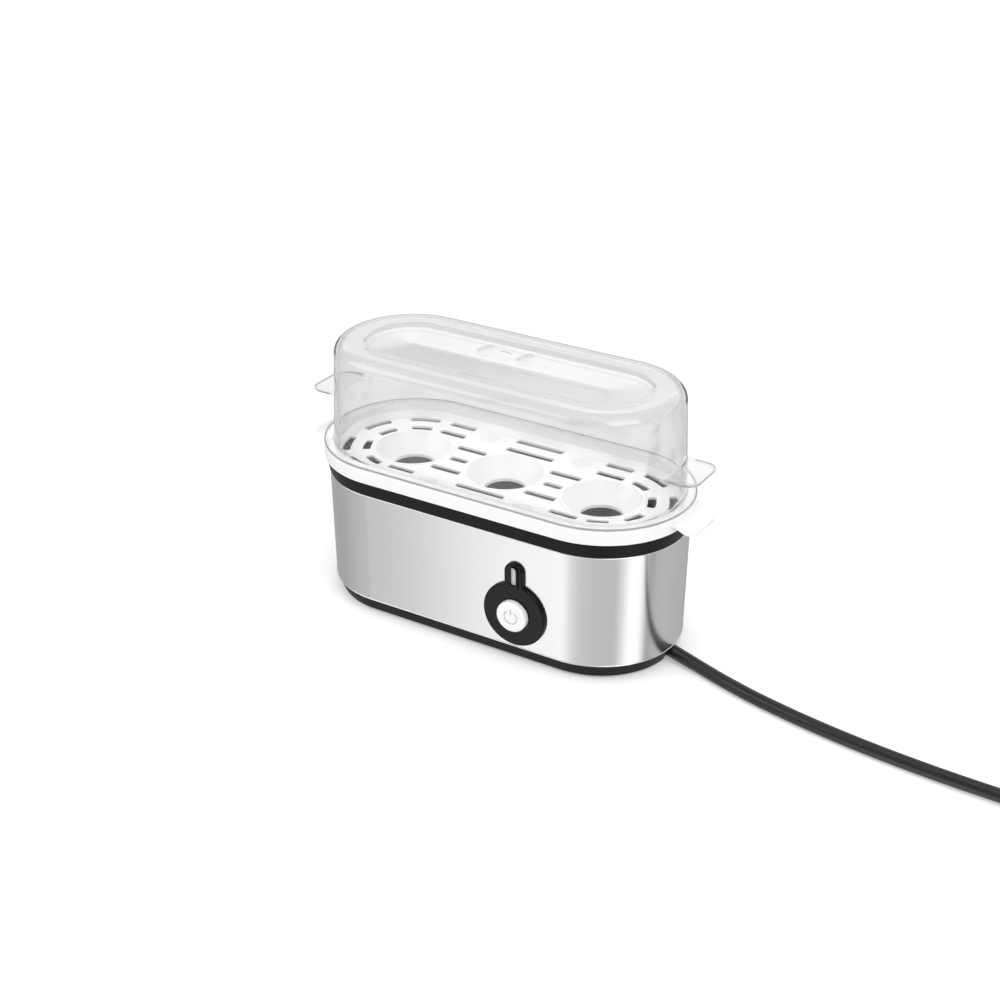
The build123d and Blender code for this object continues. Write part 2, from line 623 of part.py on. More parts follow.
def make_earth_tag():
    """Earth blade spot-welded under the spreader, at the end with the lead."""
    half = (BLADE_WIDTH + 1.6) / 2
    foot = box((EARTH_TAG_X - 6, EARTH_TAG_X + BLADE_T), (-half, half), (SPREADER_Z - BLADE_T, SPREADER_Z))
    return foot + box((EARTH_TAG_X, EARTH_TAG_X + BLADE_T), (-half, half),
                      (SPREADER_Z - EARTH_BLADE_LENGTH, SPREADER_Z))


# Egg tray

def floor_slot(x, y, length):
    """One straight steam slot, long along X, as a cutter through the tray's floor."""
    shape = RectangleRounded(length, SLOT_WIDTH, SLOT_CORNER_R)
    return Pos(x, y, TRAY_FLOOR - TRAY_FLOOR_T - 1) * extrude(shape, amount=TRAY_FLOOR_T + 2)


def curved_slot(radius, angle):
    """One steam slot that follows the round end, about an angle from the long axis."""
    span = SLOT_ARC if radius > SLOT_ROW_INNER + 1 else SLOT_ARC * 0.96
    low = math.radians(angle - span / 2)
    high = math.radians(angle + span / 2)
    far = 2 * radius
    wedge = make_face(Polyline(
        (0, 0), (far * math.cos(low), far * math.sin(low)),
        (far * math.cos(high), far * math.sin(high)), close=True,
    ))
    shape = (Circle(radius + SLOT_WIDTH / 2) - Circle(radius - SLOT_WIDTH / 2)) & wedge
    shape = fillet(shape.vertices(), SLOT_CORNER_R)
    return Pos(0, 0, TRAY_FLOOR - TRAY_FLOOR_T - 1) * extrude(shape, amount=TRAY_FLOOR_T + 2)


def tray_slots():
    """All the steam slots: rows along the sides, rings round the ends, bars between the cups."""
    cutters = []
    side_x = EGG_PITCH / 2 + BRIDGE_LONG_SLOT + 2.0
    for sy in (-1, 1):
        for row in (SLOT_ROW_INNER, SLOT_ROW_OUTER):
            cutters.append(floor_slot(0, sy * row, LONG_SLOT))
            cutters += [floor_slot(sx * side_x, sy * row, SIDE_SLOT) for sx in (-1, 1)]
        cutters += [floor_slot(sx * EGG_PITCH / 2, sy * BRIDGE_ROW, BRIDGE_LONG_SLOT) for sx in (-1, 1)]
    cutters += [floor_slot(sx * EGG_PITCH / 2, 0, BRIDGE_SHORT_SLOT) for sx in (-1, 1)]
    for row in (SLOT_ROW_INNER, SLOT_ROW_OUTER):
        for angle in (-67.0, -22.5, 22.5, 67.0):
            cutter = Pos(HALF, 0, 0) * curved_slot(row, angle)
            cutters += [cutter, Rot(0, 0, 180) * cutter]
    return cutters


def egg_cup():
    """One cup: a ball-shaped bowl with a raised lip and a round hole through its bottom."""
    lip_top = TRAY_FLOOR + CUP_LIP_HEIGHT
    under = TRAY_FLOOR - TRAY_FLOOR_T
    outer = CUP_BALL_R + CUP_T
    lip_out = CUP_LIP_R + CUP_T - 0.4
    skirt = math.sqrt(outer**2 - (CUP_BALL_Z - under)**2)
    hole_in = CUP_BALL_Z - math.sqrt(CUP_BALL_R**2 - CUP_HOLE_R**2)
    hole_out = CUP_BALL_Z - math.sqrt(outer**2 - CUP_HOLE_R**2)
    inner_angle = math.radians(-50)
    mid_in = (CUP_BALL_R * math.cos(inner_angle), CUP_BALL_Z + CUP_BALL_R * math.sin(inner_angle))
    mid_out = (outer * math.cos(inner_angle), CUP_BALL_Z + outer * math.sin(inner_angle))
    outline = Curve() + [
        ThreePointArc((CUP_HOLE_R, hole_in), mid_in, (CUP_LIP_R, lip_top)),
        Line((CUP_LIP_R, lip_top), (lip_out, lip_top)),
        Line((lip_out, lip_top), (lip_out + 0.3, under)),
        Line((lip_out + 0.3, under), (skirt, under)),
        ThreePointArc((skirt, under), mid_out, (CUP_HOLE_R, hole_out)),
        Line((CUP_HOLE_R, hole_out), (CUP_HOLE_R, hole_in)),
    ]
    return revolve(Plane.XZ * make_face(outline), axis=Axis.Z)


def tab_plan(end):
    """A tab seen from above: from the middle of the round end out to the tab's rounded end."""
    return Pos((HALF + end) / 2, 0) * RectangleRounded(end - HALF, 2 * TAB_HALF, TAB_CORNER_R)


def tray_tab(side):
    """One lifting tab: a rounded plate that slopes down and away from the tray's rim."""
    start = HALF + (TRAY_RIM_R + TRAY_TOP_INNER_R) / 2
    high = TRAY_TOP - 1.2
    low = high - TRAY_TAB_DROP
    knee = start + 0.35 * (TRAY_TAB_END - start)

    def slope(z):
        return Spline((start, high + z), (knee, high + z - 0.2 * TRAY_TAB_DROP), (TRAY_TAB_END, low + z),
                      tangents=[(1, 0), (1, -0.12)])

    top = slope(0)
    under = slope(-TRAY_TAB_T)
    outline = Curve() + [top, Line(top @ 1, under @ 1), under, Line(under @ 0, top @ 0)]
    plate = extrude(Plane.XZ * make_face(outline), amount=TAB_HALF, both=True)
    plan = tab_plan(TRAY_TAB_END)
    plate = plate & (Pos(0, 0, low - 10) * extrude(plan, amount=30))
    plate = plate - oval_block(TRAY_RIM_R - TRAY_WALL_T / 2, low - 10, high + 10)
    return plate if side > 0 else Rot(0, 0, 180) * plate


def make_tray():
    """Moulded egg tray: rim, sloped wall, slotted floor, three cups, dimples and two tabs."""
    under = TRAY_FLOOR - TRAY_FLOOR_T
    rim_under = TRAY_TOP - TRAY_WALL_T
    wall_out = TRAY_FLOOR_R + TRAY_WALL_T
    guide_out = TRAY_GUIDE_R
    guide_in = guide_out - TRAY_GUIDE_T
    guide_low = COLLAR_TOP - TRAY_GUIDE_DEPTH
    tray = oval_ring(section(
        (0, under), (guide_in, under), (guide_in, guide_low), (guide_out, guide_low),
        (guide_out, TRAY_FLOOR + (guide_out - wall_out) / TRAY_SLOPE),
        (wall_out + (rim_under - TRAY_FLOOR) * TRAY_SLOPE, rim_under), (TRAY_RIM_R - TRAY_WALL_T, rim_under),
        (TRAY_FOOT_R - TRAY_WALL_T, TRAY_FOOT), (TRAY_FOOT_R, TRAY_FOOT), (TRAY_RIM_R, TRAY_TOP, 1.0),
        (TRAY_TOP_INNER_R, TRAY_TOP, 0.8), (TRAY_FLOOR_R, TRAY_FLOOR, 1.5), (0, TRAY_FLOOR),
    ))
    cup = egg_cup()
    for step in (-1, 0, 1):
        x = step * EGG_PITCH
        tray -= upright(x, 0, CUP_LIP_R + 0.5, under - 1, TRAY_FLOOR + 1)
        tray += Pos(x, 0, 0) * cup
    for x, y in corners(DIMPLE_PLACE):
        ball_r = (DIMPLE_R**2 + DIMPLE_HEIGHT**2) / (2 * DIMPLE_HEIGHT)
        ball = Pos(x, y, TRAY_FLOOR + DIMPLE_HEIGHT - ball_r) * Sphere(ball_r)
        tray += ball & upright(x, y, DIMPLE_R + 1, TRAY_FLOOR - 0.5, TRAY_FLOOR + DIMPLE_HEIGHT + 1)
    for cutter in tray_slots():
        tray -= cutter
    return tray + tray_tab(1) + tray_tab(-1)


# Lid

def wall_radius(z):
    """The lid wall's outer radius at a height, before the shoulder is rounded."""
    share = (z - LID_Z - LID_FLANGE_T) / (LID_HEIGHT - LID_FLANGE_T)
    return LID_FOOT_R + (LID_TOP_R - LID_FOOT_R) * share


def make_lid():
    """Clear moulded lid: flange, drafted wall, rounded shoulder, valley in the top, two vents."""
    guide_r = TRAY_TOP_INNER_R - SLIDE_GAP
    guide_low = LID_Z - LID_GUIDE_DEPTH
    guide_low_r = guide_r - TRAY_SLOPE * LID_GUIDE_DEPTH
    inside_top = LID_TOP - LID_T
    valley = RECESS_FLOOR - RECESS_FALL
    lid = oval_ring(section(
        (LID_FLANGE_R, LID_Z), (LID_FLANGE_R, LID_Z + LID_FLANGE_T, 0.5),
        (LID_FOOT_R, LID_Z + LID_FLANGE_T, 0.8), (LID_TOP_R, LID_TOP, LID_SHOULDER_R),
        (RECESS_R, LID_TOP, 0.5), (RECESS_R - 0.3, RECESS_FLOOR), (0, valley), (0, valley - LID_T),
        (RECESS_R + 1.2, RECESS_FLOOR - LID_T), (RECESS_R + 1.6, inside_top),
        (LID_TOP_R - LID_T, inside_top, LID_SHOULDER_R - LID_T), (LID_FOOT_R - LID_T, LID_Z + LID_FLANGE_T),
        (guide_low_r - LID_GUIDE_T, guide_low), (guide_low_r, guide_low), (guide_r, LID_Z),
    ))
    for side in (-1, 1):
        x = VENT_PLACE[0] + side * VENT_SPACING / 2
        vent = Pos(x, VENT_PLACE[1], valley - 5) * Rot(0, 0, 90 - 12) * SlotOverall(VENT_LENGTH, VENT_WIDTH)
        lid -= extrude(vent, amount=12, dir=(0, 0, 1))
    middle = LID_Z + LID_TAB_HEIGHT
    inner = wall_radius(middle) - LID_T / 2
    tab = Pos(0, 0, middle - LID_TAB_T) * extrude(tab_plan(LID_TAB_END), amount=LID_TAB_T)
    tab = fillet(tab.edges().group_by(Axis.Z)[-1], 0.5)
    tab -= oval_block(inner, middle - 5, middle + 5)
    return lid + tab + Rot(0, 0, 180) * tab


# Control panel

def keyhole(radius, neck_width, neck_top):
    """The plate's outline: a disc with a round-ended neck that stands up from it."""
    neck_r = neck_width / 2
    neck = Pos(0, (neck_top - neck_r) / 2) * Rectangle(neck_width, neck_top - neck_r)
    return Circle(radius) + neck + Pos(0, neck_top - neck_r) * Circle(neck_r)


def lens_shape(grow):
    """The lens window: square at the bottom, round at the top, wider all round by a clearance."""
    half = LENS_WIDTH / 2 + grow
    top = LENS_TOP + grow - half
    bottom = LENS_BOTTOM - grow
    bar = Pos(0, (bottom + top) / 2) * Rectangle(2 * half, top - bottom)
    return bar + Pos(0, top) * Circle(half)


def make_bezel():
    """Keyhole plate with a raised hood round the lens and a barrel back through the sleeve."""
    plate = extrude(keyhole(BEZEL_R, NECK_WIDTH, NECK_TOP), amount=BEZEL_T)
    plate = fillet(plate.edges().group_by(Axis.Z)[-1], BEZEL_ROUND)
    hood_width = LENS_WIDTH + 2 * FIT_GAP + 2 * HOOD_WALL
    hood_r = hood_width / 2
    hood_top = LENS_TOP + FIT_GAP + 0.5
    hood = Pos(0, (LENS_BOTTOM - 1 + hood_top - hood_r) / 2) * Rectangle(
        hood_width, hood_top - hood_r - LENS_BOTTOM + 1)
    hood += Pos(0, hood_top - hood_r) * Circle(hood_r)
    plate += Pos(0, 0, BEZEL_T - 1) * extrude(hood, amount=HOOD_PROUD + 1)
    plate -= Cylinder(BUTTON_R + 0.35, 20)
    plate -= Pos(0, 0, -5) * extrude(lens_shape(FIT_GAP), amount=15)
    barrel = Cylinder(BARREL_R, BARREL_DEPTH) - Cylinder(BARREL_R - BARREL_WALL, BARREL_DEPTH + 1)
    plate += Pos(0, 0, -BARREL_DEPTH / 2) * barrel
    hole = SMALL_SCREW_LENGTH - SWITCH_EAR_T + 0.5
    for side in (-1, 1):
        pilot = Cylinder(SMALL_SCREW_R + FIT_GAP / 2, hole)
        plate -= Pos(side * EAR_SCREW_X, 0, hole / 2 - BARREL_DEPTH) * pilot
    return PANEL.location * plate


def make_lens():
    """Clear lamp lens with a flange behind the plate."""
    lens = Pos(0, 0, -0.8) * extrude(lens_shape(0), amount=BEZEL_T - LENS_SHY + 0.8)
    lens += Pos(0, 0, -1.2) * extrude(lens_shape(0.9), amount=1.2 - FIT_GAP)
    return PANEL.location * lens


def make_lamp():
    """Neon lamp lying upright behind the lens."""
    middle = (LENS_BOTTOM + LENS_TOP) / 2
    glass = Rot(90, 0, 0) * Cylinder(LAMP_R, LAMP_LENGTH)
    glass = fillet(glass.edges(), 0.8)
    return PANEL.location * Pos(0, middle, -4.2) * glass


def make_lamp_holder():
    """White holder that grips the lamp and sits on the lens flange."""
    middle = (LENS_BOTTOM + LENS_TOP) / 2
    block = Pos(0, middle, -4.3) * Box(6.8, LENS_TOP - LENS_BOTTOM + 1.0, 6.0)
    block -= Pos(0, middle, -4.2) * Rot(90, 0, 0) * Cylinder(LAMP_R + FIT_GAP, LAMP_LENGTH + 2 * FIT_GAP)
    block -= Pos(0, middle, -2.0) * Box(3.4, LAMP_LENGTH, 4.0)
    for side in (-1, 1):
        block -= Pos(side * 1.4, middle - 8, -5.0) * Rot(90, 0, 0) * Cylinder(0.7, 8)
    return PANEL.location * block


def make_button():
    """Push button: dished round cap, retaining flange and stem, turned about one axis."""
    face = BEZEL_T + BUTTON_PROUD
    flange_top = -TOUCH_GAP
    flange_low = flange_top - BUTTON_FLANGE_T
    button = revolve(section(
        (0, face - 0.5), (BUTTON_R - 2.2, face, 1.5), (BUTTON_R, face, 1.2), (BUTTON_R, flange_top),
        (BUTTON_FLANGE_R, flange_top), (BUTTON_FLANGE_R, flange_low), (STEM_R, flange_low),
        (STEM_R, STEM_END), (0, STEM_END),
    ), axis=Axis.Z)
    return PANEL.location * button


def make_plunger():
    """The switch's square plunger, which travels with the button."""
    plunger = Box(PLUNGER_SIDE, PLUNGER_SIDE, PLUNGER_LENGTH)
    return PANEL.location * Pos(0, 0, STEM_END - PLUNGER_LENGTH / 2) * plunger


def make_switch():
    """Latching switch: ears against the barrel, body with the plunger's bore, two blades."""
    back = EAR_FRONT - SWITCH_EAR_T - SWITCH_DEPTH
    switch = Pos(0, 0, EAR_FRONT - SWITCH_EAR_T / 2) * Box(2 * EAR_SCREW_X + 4, 8, SWITCH_EAR_T)
    switch += Pos(0, 0, back + SWITCH_DEPTH / 2) * Box(SWITCH_SIDE, SWITCH_SIDE, SWITCH_DEPTH)
    bore_end = STEM_END - PLUNGER_LENGTH - BUTTON_TRAVEL - 1.0
    bore_side = PLUNGER_SIDE + 2 * TOUCH_GAP
    switch -= Pos(0, 0, (bore_end + 1) / 2) * Box(bore_side, bore_side, 1 - bore_end)
    for x in (-BLADE_X, BLADE_X):
        switch += Pos(x, 0, (BLADE_END + back + 1) / 2) * Box(BLADE_T, BLADE_WIDTH, back + 1 - BLADE_END)
    for side in (-1, 1):
        switch -= Pos(side * EAR_SCREW_X, 0, EAR_FRONT) * Cylinder(SMALL_SCREW_R + FIT_GAP, 8)
    return PANEL.location * switch


def make_switch_screws():
    """Two small screws through the switch's ears into the barrel."""
    under = EAR_FRONT - SWITCH_EAR_T
    screws = []
    for side in (-1, 1):
        head = Pos(0, 0, under - 0.7) * Cylinder(SMALL_SCREW_HEAD_R, 1.4)
        shank = Pos(0, 0, under + SMALL_SCREW_LENGTH / 2) * Cylinder(SMALL_SCREW_R, SMALL_SCREW_LENGTH)
        screws.append(PANEL.location * Pos(side * EAR_SCREW_X, 0, 0) * (head + shank))
    return screws


# Mains lead inside the base

def make_relief():
    """Moulded strain relief: a tapered sleeve through the base's notch, with a collar behind it."""
    outside = Pos(0, 0, RELIEF_OUTSIDE / 2) * Cone(RELIEF_R, RELIEF_END_R, RELIEF_OUTSIDE)
    inside = Pos(0, 0, -RELIEF_INSIDE / 2) * Cylinder(RELIEF_R, RELIEF_INSIDE)
    wall = math.sqrt((BASE_EDGE_R - BASE_WALL_T)**2 - RELIEF_COLLAR_HALF**2)
    right = HALF + wall - 1.3
    collar = box((right - RELIEF_COLLAR_T, right), (-RELIEF_COLLAR_HALF + 0.5, RELIEF_COLLAR_HALF + 0.5),
                 (BASE_FLOOR_TOP + FIT_GAP, RELIEF_HEIGHT + RELIEF_R + 0.8))
    return RELIEF.location * (outside + inside) + collar


def make_stub():
    """The sheathed end of the lead inside the housing, up to the terminal strip."""
    return RELIEF.location * Pos(0, 0, -RELIEF_INSIDE - STUB_LENGTH / 2) * Cylinder(CORD_D / 2, STUB_LENGTH)


def clamp_holes():
    """The two screw places beside the sheath."""
    return [(CLAMP_AT.X, CLAMP_AT.Y + side * CLAMP_HALF) for side in (-1, 1)]


def make_cord_clamp():
    """Bridge that clamps the sheath down on two posts."""
    half = CLAMP_HALF + CLAMP_SCREW_HEAD_R + 0.6
    bridge = box((CLAMP_AT.X - CLAMP_WIDTH / 2, CLAMP_AT.X + CLAMP_WIDTH / 2),
                 (CLAMP_AT.Y - half, CLAMP_AT.Y + half), (CLAMP_Z, CLAMP_Z + CLAMP_T))
    sheath = Cylinder(CORD_D / 2 + FIT_GAP / 2, 3 * STUB_LENGTH)
    bridge -= RELIEF.location * Pos(0, 0, -RELIEF_INSIDE - STUB_LENGTH / 2) * sheath
    for x, y in clamp_holes():
        bridge -= upright(x, y, CLAMP_SCREW_R + FIT_GAP, CLAMP_Z - 1, CLAMP_Z + CLAMP_T + 1)
    return bridge


def make_clamp_screws():
    """The two screws that hold the cord clamp down."""
    top = CLAMP_Z + CLAMP_T
    screws = []
    for x, y in clamp_holes():
        head = upright(x, y, CLAMP_SCREW_HEAD_R, top, top + SCREW_HEAD_T)
        screws.append(head + upright(x, y, CLAMP_SCREW_R, BASE_FLOOR_TOP + 0.5, top + 0.5))
    return screws


def way_y(step):
    """The terminal strip's three ways, counted from its middle one."""
    return TERMINAL_Y + step * TERMINAL_PITCH


def make_terminal_strip():
    """Three-way terminal strip on the floor, with a wire hole and a screw hole for each way."""
    span = (TERMINAL_LEFT, TERMINAL_RIGHT)
    middle = (TERMINAL_LEFT + TERMINAL_RIGHT) / 2
    half = 1.5 * TERMINAL_PITCH
    cell = 0.4 * TERMINAL_PITCH
    strip = box(span, (TERMINAL_Y - half, TERMINAL_Y + half), (BASE_FLOOR_TOP, TERMINAL_TOP - 3))
    for step in (-1, 0, 1):
        y = way_y(step)
        strip += box(span, (y - cell, y + cell), (TERMINAL_TOP - 4, TERMINAL_TOP))
        strip -= Pos(middle, y, TERMINAL_BORE_Z) * Rot(0, 90, 0) * Cylinder(CORE_R + 0.4, 2 * TERMINAL_LENGTH)
        for dx in (-TERMINAL_LENGTH / 4, TERMINAL_LENGTH / 4):
            strip -= upright(middle + dx, y, CORE_R + 0.4, TERMINAL_BORE_Z, TERMINAL_TOP + 1)
    return strip


def straight_rod(start, end, radius):
    """A plain round rod between two points."""
    axis = Plane(origin=start, z_dir=end - start)
    return axis.location * extrude(Circle(radius), amount=(end - start).length)


def make_cores():
    """The lead's three cores, from the sheath's cut end into the terminal strip."""
    cores = []
    side = Vector(-RELIEF_DIR.Y, RELIEF_DIR.X, 0).normalized()
    for step in (-1, 0, 1):
        y = way_y(step)
        leaves = STUB_END - RELIEF_DIR * (CORE_R + FIT_GAP) + side * (step * CORE_SPREAD)
        knee = Vector(TERMINAL_RIGHT + 1.5, y, TERMINAL_BORE_Z)
        inside = Vector(TERMINAL_RIGHT - 3.0, y, TERMINAL_BORE_Z)
        bend = Pos(knee.X, knee.Y, knee.Z) * Sphere(CORE_R)
        cores.append(straight_rod(leaves, knee, CORE_R) + bend + straight_rod(knee, inside, CORE_R))
    return cores


def make_live_wire():
    """Live wire, from the terminal strip to the switch."""
    y = way_y(1)
    return wire_along([
        (TERMINAL_LEFT + 3, y, TERMINAL_BORE_Z), (TERMINAL_LEFT - 8, y, TERMINAL_BORE_Z),
        (TERMINAL_LEFT - 17, 1, TERMINAL_BORE_Z + 6), panel_point(BLADE_X + 1, 0, BLADE_END - 7),
        panel_point(BLADE_X, 0, BLADE_END - 3), panel_point(BLADE_X, 0, BLADE_END),
    ])


def make_switched_wire():
    """Wire from the switch to the thermostat."""
    x = THERMOSTAT_R / 2
    low = THERMOSTAT_Z - BLADE_LENGTH
    return wire_along([
        panel_point(-BLADE_X, 0, BLADE_END), panel_point(-BLADE_X, 0, BLADE_END - 3),
        panel_point(-BLADE_X - 3, 0, BLADE_END - 8), (x + 9, 0, low - 6), (x, 0, low - 4), (x, 0, low),
    ])


def make_fuse_wire():
    """Wire from the thermostat to the thermal fuse."""
    x = -THERMOSTAT_R / 2
    low = THERMOSTAT_Z - BLADE_LENGTH
    lead = FUSE_X + FUSE_LENGTH / 2 + FUSE_LEAD
    return wire_along([
        (x, 0, low), (x, 0, low - 4), (x - 6, 2, low - 4), (lead + 5, FUSE_Y - 1, FUSE_Z - 6),
        (lead + 3, FUSE_Y, FUSE_Z), (lead, FUSE_Y, FUSE_Z),
    ])


def make_heater_wire():
    """Wire from the thermal fuse to the element's rear pin."""
    lead = FUSE_X - FUSE_LENGTH / 2 - FUSE_LEAD
    return wire_along([
        (lead, FUSE_Y, FUSE_Z), (lead - 3, FUSE_Y, FUSE_Z), (lead - 2, FUSE_Y + 2, FUSE_Z - 13),
        (FUSE_X + 26, HEATER_LANE + 4, HEATER_PIN_Z - 6),
        (HEATER_END_X - 8, HEATER_LANE + 1, HEATER_PIN_Z - 7),
        (HEATER_END_X, HEATER_LANE, HEATER_PIN_Z - 5), (HEATER_END_X, HEATER_LANE, HEATER_PIN_Z),
    ])


def make_neutral_wire():
    """Neutral wire, from the terminal strip to the element's front pin."""
    y = way_y(-1)
    return wire_along([
        (TERMINAL_LEFT + 3, y, TERMINAL_BORE_Z), (TERMINAL_LEFT - 5, y, TERMINAL_BORE_Z),
        (HEATER_END_X, -HEATER_LANE, TERMINAL_BORE_Z + 5), (HEATER_END_X, -HEATER_LANE, HEATER_PIN_Z),
    ])


def make_earth_wire():
    """Earth wire, from the terminal strip up to the blade on the spreader."""
    x = EARTH_TAG_X + BLADE_T / 2
    return wire_along([
        (TERMINAL_LEFT + 3, TERMINAL_Y, TERMINAL_BORE_Z), (TERMINAL_LEFT - 4, TERMINAL_Y, TERMINAL_BORE_Z),
        (x, 0, TERMINAL_BORE_Z + 8), (x, 0, SPREADER_Z - EARTH_BLADE_LENGTH),
    ])


# Mains lead outside the base

def cord_route():
    """The free stretch's points: straight out of the relief first, then the chosen ones."""
    return [tuple(RELIEF_END), tuple(RELIEF_END + RELIEF_DIR * CORD_LEAVES)] + CORD_POINTS


def make_cord():
    """The free stretch of the lead, from the relief's end to the coil."""
    points = cord_route()
    radii = corner_radii(points)
    path = FilletPolyline(*points, radius=radii)
    cord = rod_along(path, CORD_D / 2)
    plain = math.pi * (CORD_D / 2)**2 * path.length
    print("cord corner radii", [round(r) for r in radii])
    print("cord length", round(path.length, 1), "volume over plain rod", round(cord.volume / plain, 4))
    return cord


def coil_point(turns):
    """Where the coil's line is after a number of turns, anticlockwise from its lowest side."""
    angle = math.radians(-90 + 360 * turns)
    if turns <= COIL_TURNS_IN:
        radius = COIL_OUTER_R - COIL_PITCH * turns
    else:
        radius = COIL_OUTER_R - COIL_PITCH * (2 * COIL_TURNS_IN - turns)
    share = min(max((turns - COIL_TURNS_IN + 0.25) / 0.5, 0), 1)
    z = COIL_FLOOR + COIL_RISE * (1 - math.cos(math.pi * share)) / 2
    return Vector(COIL_CENTRE[0] + radius * math.cos(angle), COIL_CENTRE[1] + radius * math.sin(angle), z)


def coil_direction(turns):
    """The coil's heading after a number of turns. Its two ends are square to what they meet."""
    if turns <= 0:
        return Vector(1, 0, 0)
    if turns >= COIL_TURNS:
        return Vector(0, 1, 0)
    step = 0.002
    return (coil_point(turns + step) - coil_point(turns - step)).normalized()


def biarc(start, start_dir, end, end_dir):
    """Two arcs that leave a point in one direction and reach another point in another."""
    chord = end - start
    both = start_dir + end_dir
    spare = 2 * (1 - start_dir.dot(end_dir))
    reach = (-chord.dot(both) + math.sqrt(chord.dot(both)**2 + spare * chord.dot(chord))) / spare
    near = start + start_dir * reach
    far = end - end_dir * reach
    middle = (near + far) * 0.5
    return [Edge.make_tangent_arc(start, start_dir, middle), Edge.make_tangent_arc(middle, far - near, end)]


def least_gap(points, diameter):
    """The least room between turns of a line of points, past its own thickness."""
    best = 1e9
    stretch = int(3 * diameter)
    for i in range(0, len(points), 2):
        for j in range(i + stretch, len(points)):
            best = min(best, (points[i] - points[j]).length)
    return best - diameter


def make_coil():
    """The wound-up length of the lead, as one unbroken tube on quarter-turn biarcs."""
    quarters = int(round(COIL_TURNS * 4))
    stops = [(coil_point(q / 4), coil_direction(q / 4)) for q in range(quarters + 1)]
    edges = [Edge.make_line(stops[0][0] - stops[0][1] * CORD_D, stops[0][0])]
    for (a, da), (b, db) in zip(stops, stops[1:]):
        edges += biarc(a, da, b, db)
    edges.append(Edge.make_line(stops[-1][0], stops[-1][0] + stops[-1][1] * COIL_LEAD_OUT))
    path = Wire(edges)
    samples = [path.position_at(i / 400) for i in range(401)]
    step = path.length / 400
    spread = [p for k, p in enumerate(samples) if k % max(1, int(1 / step)) == 0]
    print("coil length", round(path.length, 1), "least gap", round(least_gap(spread, CORD_D), 2))
    return rod_along(path, CORD_D / 2)


def make_tie():
    """Plastic tie round the two turns on the coil's left side."""
    low = coil_point(0.75)
    high = coil_point(1.75)
    room = CORD_D / 2 + TIE_GAP
    x0 = min(low.X, high.X) - room
    x1 = max(low.X, high.X) + room
    z0 = low.Z - room
    z1 = high.Z + room
    middle = Plane(origin=((x0 + x1) / 2, COIL_CENTRE[1], (z0 + z1) / 2), x_dir=(1, 0, 0), z_dir=(0, -1, 0))
    inner = RectangleRounded(x1 - x0, z1 - z0, 2.4)
    outer = RectangleRounded(x1 - x0 + 2 * TIE_T, z1 - z0 + 2 * TIE_T, 2.4 + TIE_T)
    return middle.location * extrude(outer - inner, amount=TIE_WIDTH / 2, both=True)


# Plug

def plug_place():
    """The middle of the plug's body on the surface, behind the coil's way out."""
    end = coil_point(COIL_TURNS)
    return end.X, end.Y + COIL_LEAD_OUT + PLUG_TAIL_LENGTH + PLUG_R - 2.0, end.Z


def make_plug_body():
    """Moulded plug on its back: round body, side grooves, earth socket and a tapered tail."""
    x, y, axis_z = plug_place()
    body = upright(x, y, PLUG_R, 0, PLUG_HEIGHT)
    body = fillet(body.edges().group_by(Axis.Z)[0], 3.0)
    body = fillet(body.edges().group_by(Axis.Z)[-1], 0.8)
    face = PLUG_HEIGHT - PLUG_FACE_DEPTH
    for side in (-1, 1):
        groove = Box(4.2, 5.0, PLUG_HEIGHT + 1 - face)
        body -= Pos(x + side * (PLUG_R + 0.6), y, (face + PLUG_HEIGHT + 1) / 2) * groove
        body -= Pos(x, y + side * PLUG_R, (face + PLUG_HEIGHT + 1) / 2) * Box(
            EARTH_CLIP_WIDTH + 0.4, 2 * EARTH_CLIP_T + 0.6, PLUG_HEIGHT + 1 - face)
        body -= upright(x + side * PIN_SPACING / 2, y, PIN_ROOT_R + FIT_GAP / 2, PLUG_HEIGHT - PIN_SEAT,
                        PLUG_HEIGHT + 1)
    body -= upright(x, y - EARTH_HOLE_OFFSET, EARTH_HOLE_R, PLUG_HEIGHT - 15, PLUG_HEIGHT + 1)
    tail_start = y - PLUG_R - PLUG_TAIL_LENGTH + 2.0
    tail = Plane(origin=(x, tail_start, axis_z), x_dir=(1, 0, 0), z_dir=(0, 1, 0)).location * Pos(
        0, 0, PLUG_TAIL_LENGTH / 2) * Cone(PLUG_TAIL_END_R, PLUG_TAIL_R, PLUG_TAIL_LENGTH)
    return body + tail


def make_plug_pins():
    """Two round pins, each seated in the body, with a rounded tip."""
    x, y, axis_z = plug_place()
    pins = []
    for side in (-1, 1):
        pin_x = x + side * PIN_SPACING / 2
        pin = upright(pin_x, y, PIN_R, PLUG_HEIGHT, PLUG_HEIGHT + PIN_LENGTH)
        pin = fillet(pin.edges().group_by(Axis.Z)[-1], PIN_TIP_ROUND)
        pins.append(pin + upright(pin_x, y, PIN_ROOT_R, PLUG_HEIGHT - PIN_SEAT, PLUG_HEIGHT + 1))
    return pins


def make_earth_clips():
    """Two earth contact strips in the sides of the plug's body."""
    x, y, axis_z = plug_place()
    face = PLUG_HEIGHT - PLUG_FACE_DEPTH
    clips = []
    for side in (-1, 1):
        seat = y + side * (PLUG_R - EARTH_CLIP_T - 0.3 + EARTH_CLIP_T / 2 + 0.1)
        clips.append(Pos(x, seat, (face + PLUG_HEIGHT) / 2 + 0.2) * Box(
            EARTH_CLIP_WIDTH, EARTH_CLIP_T, PLUG_HEIGHT - face - 1.0))
    return clips


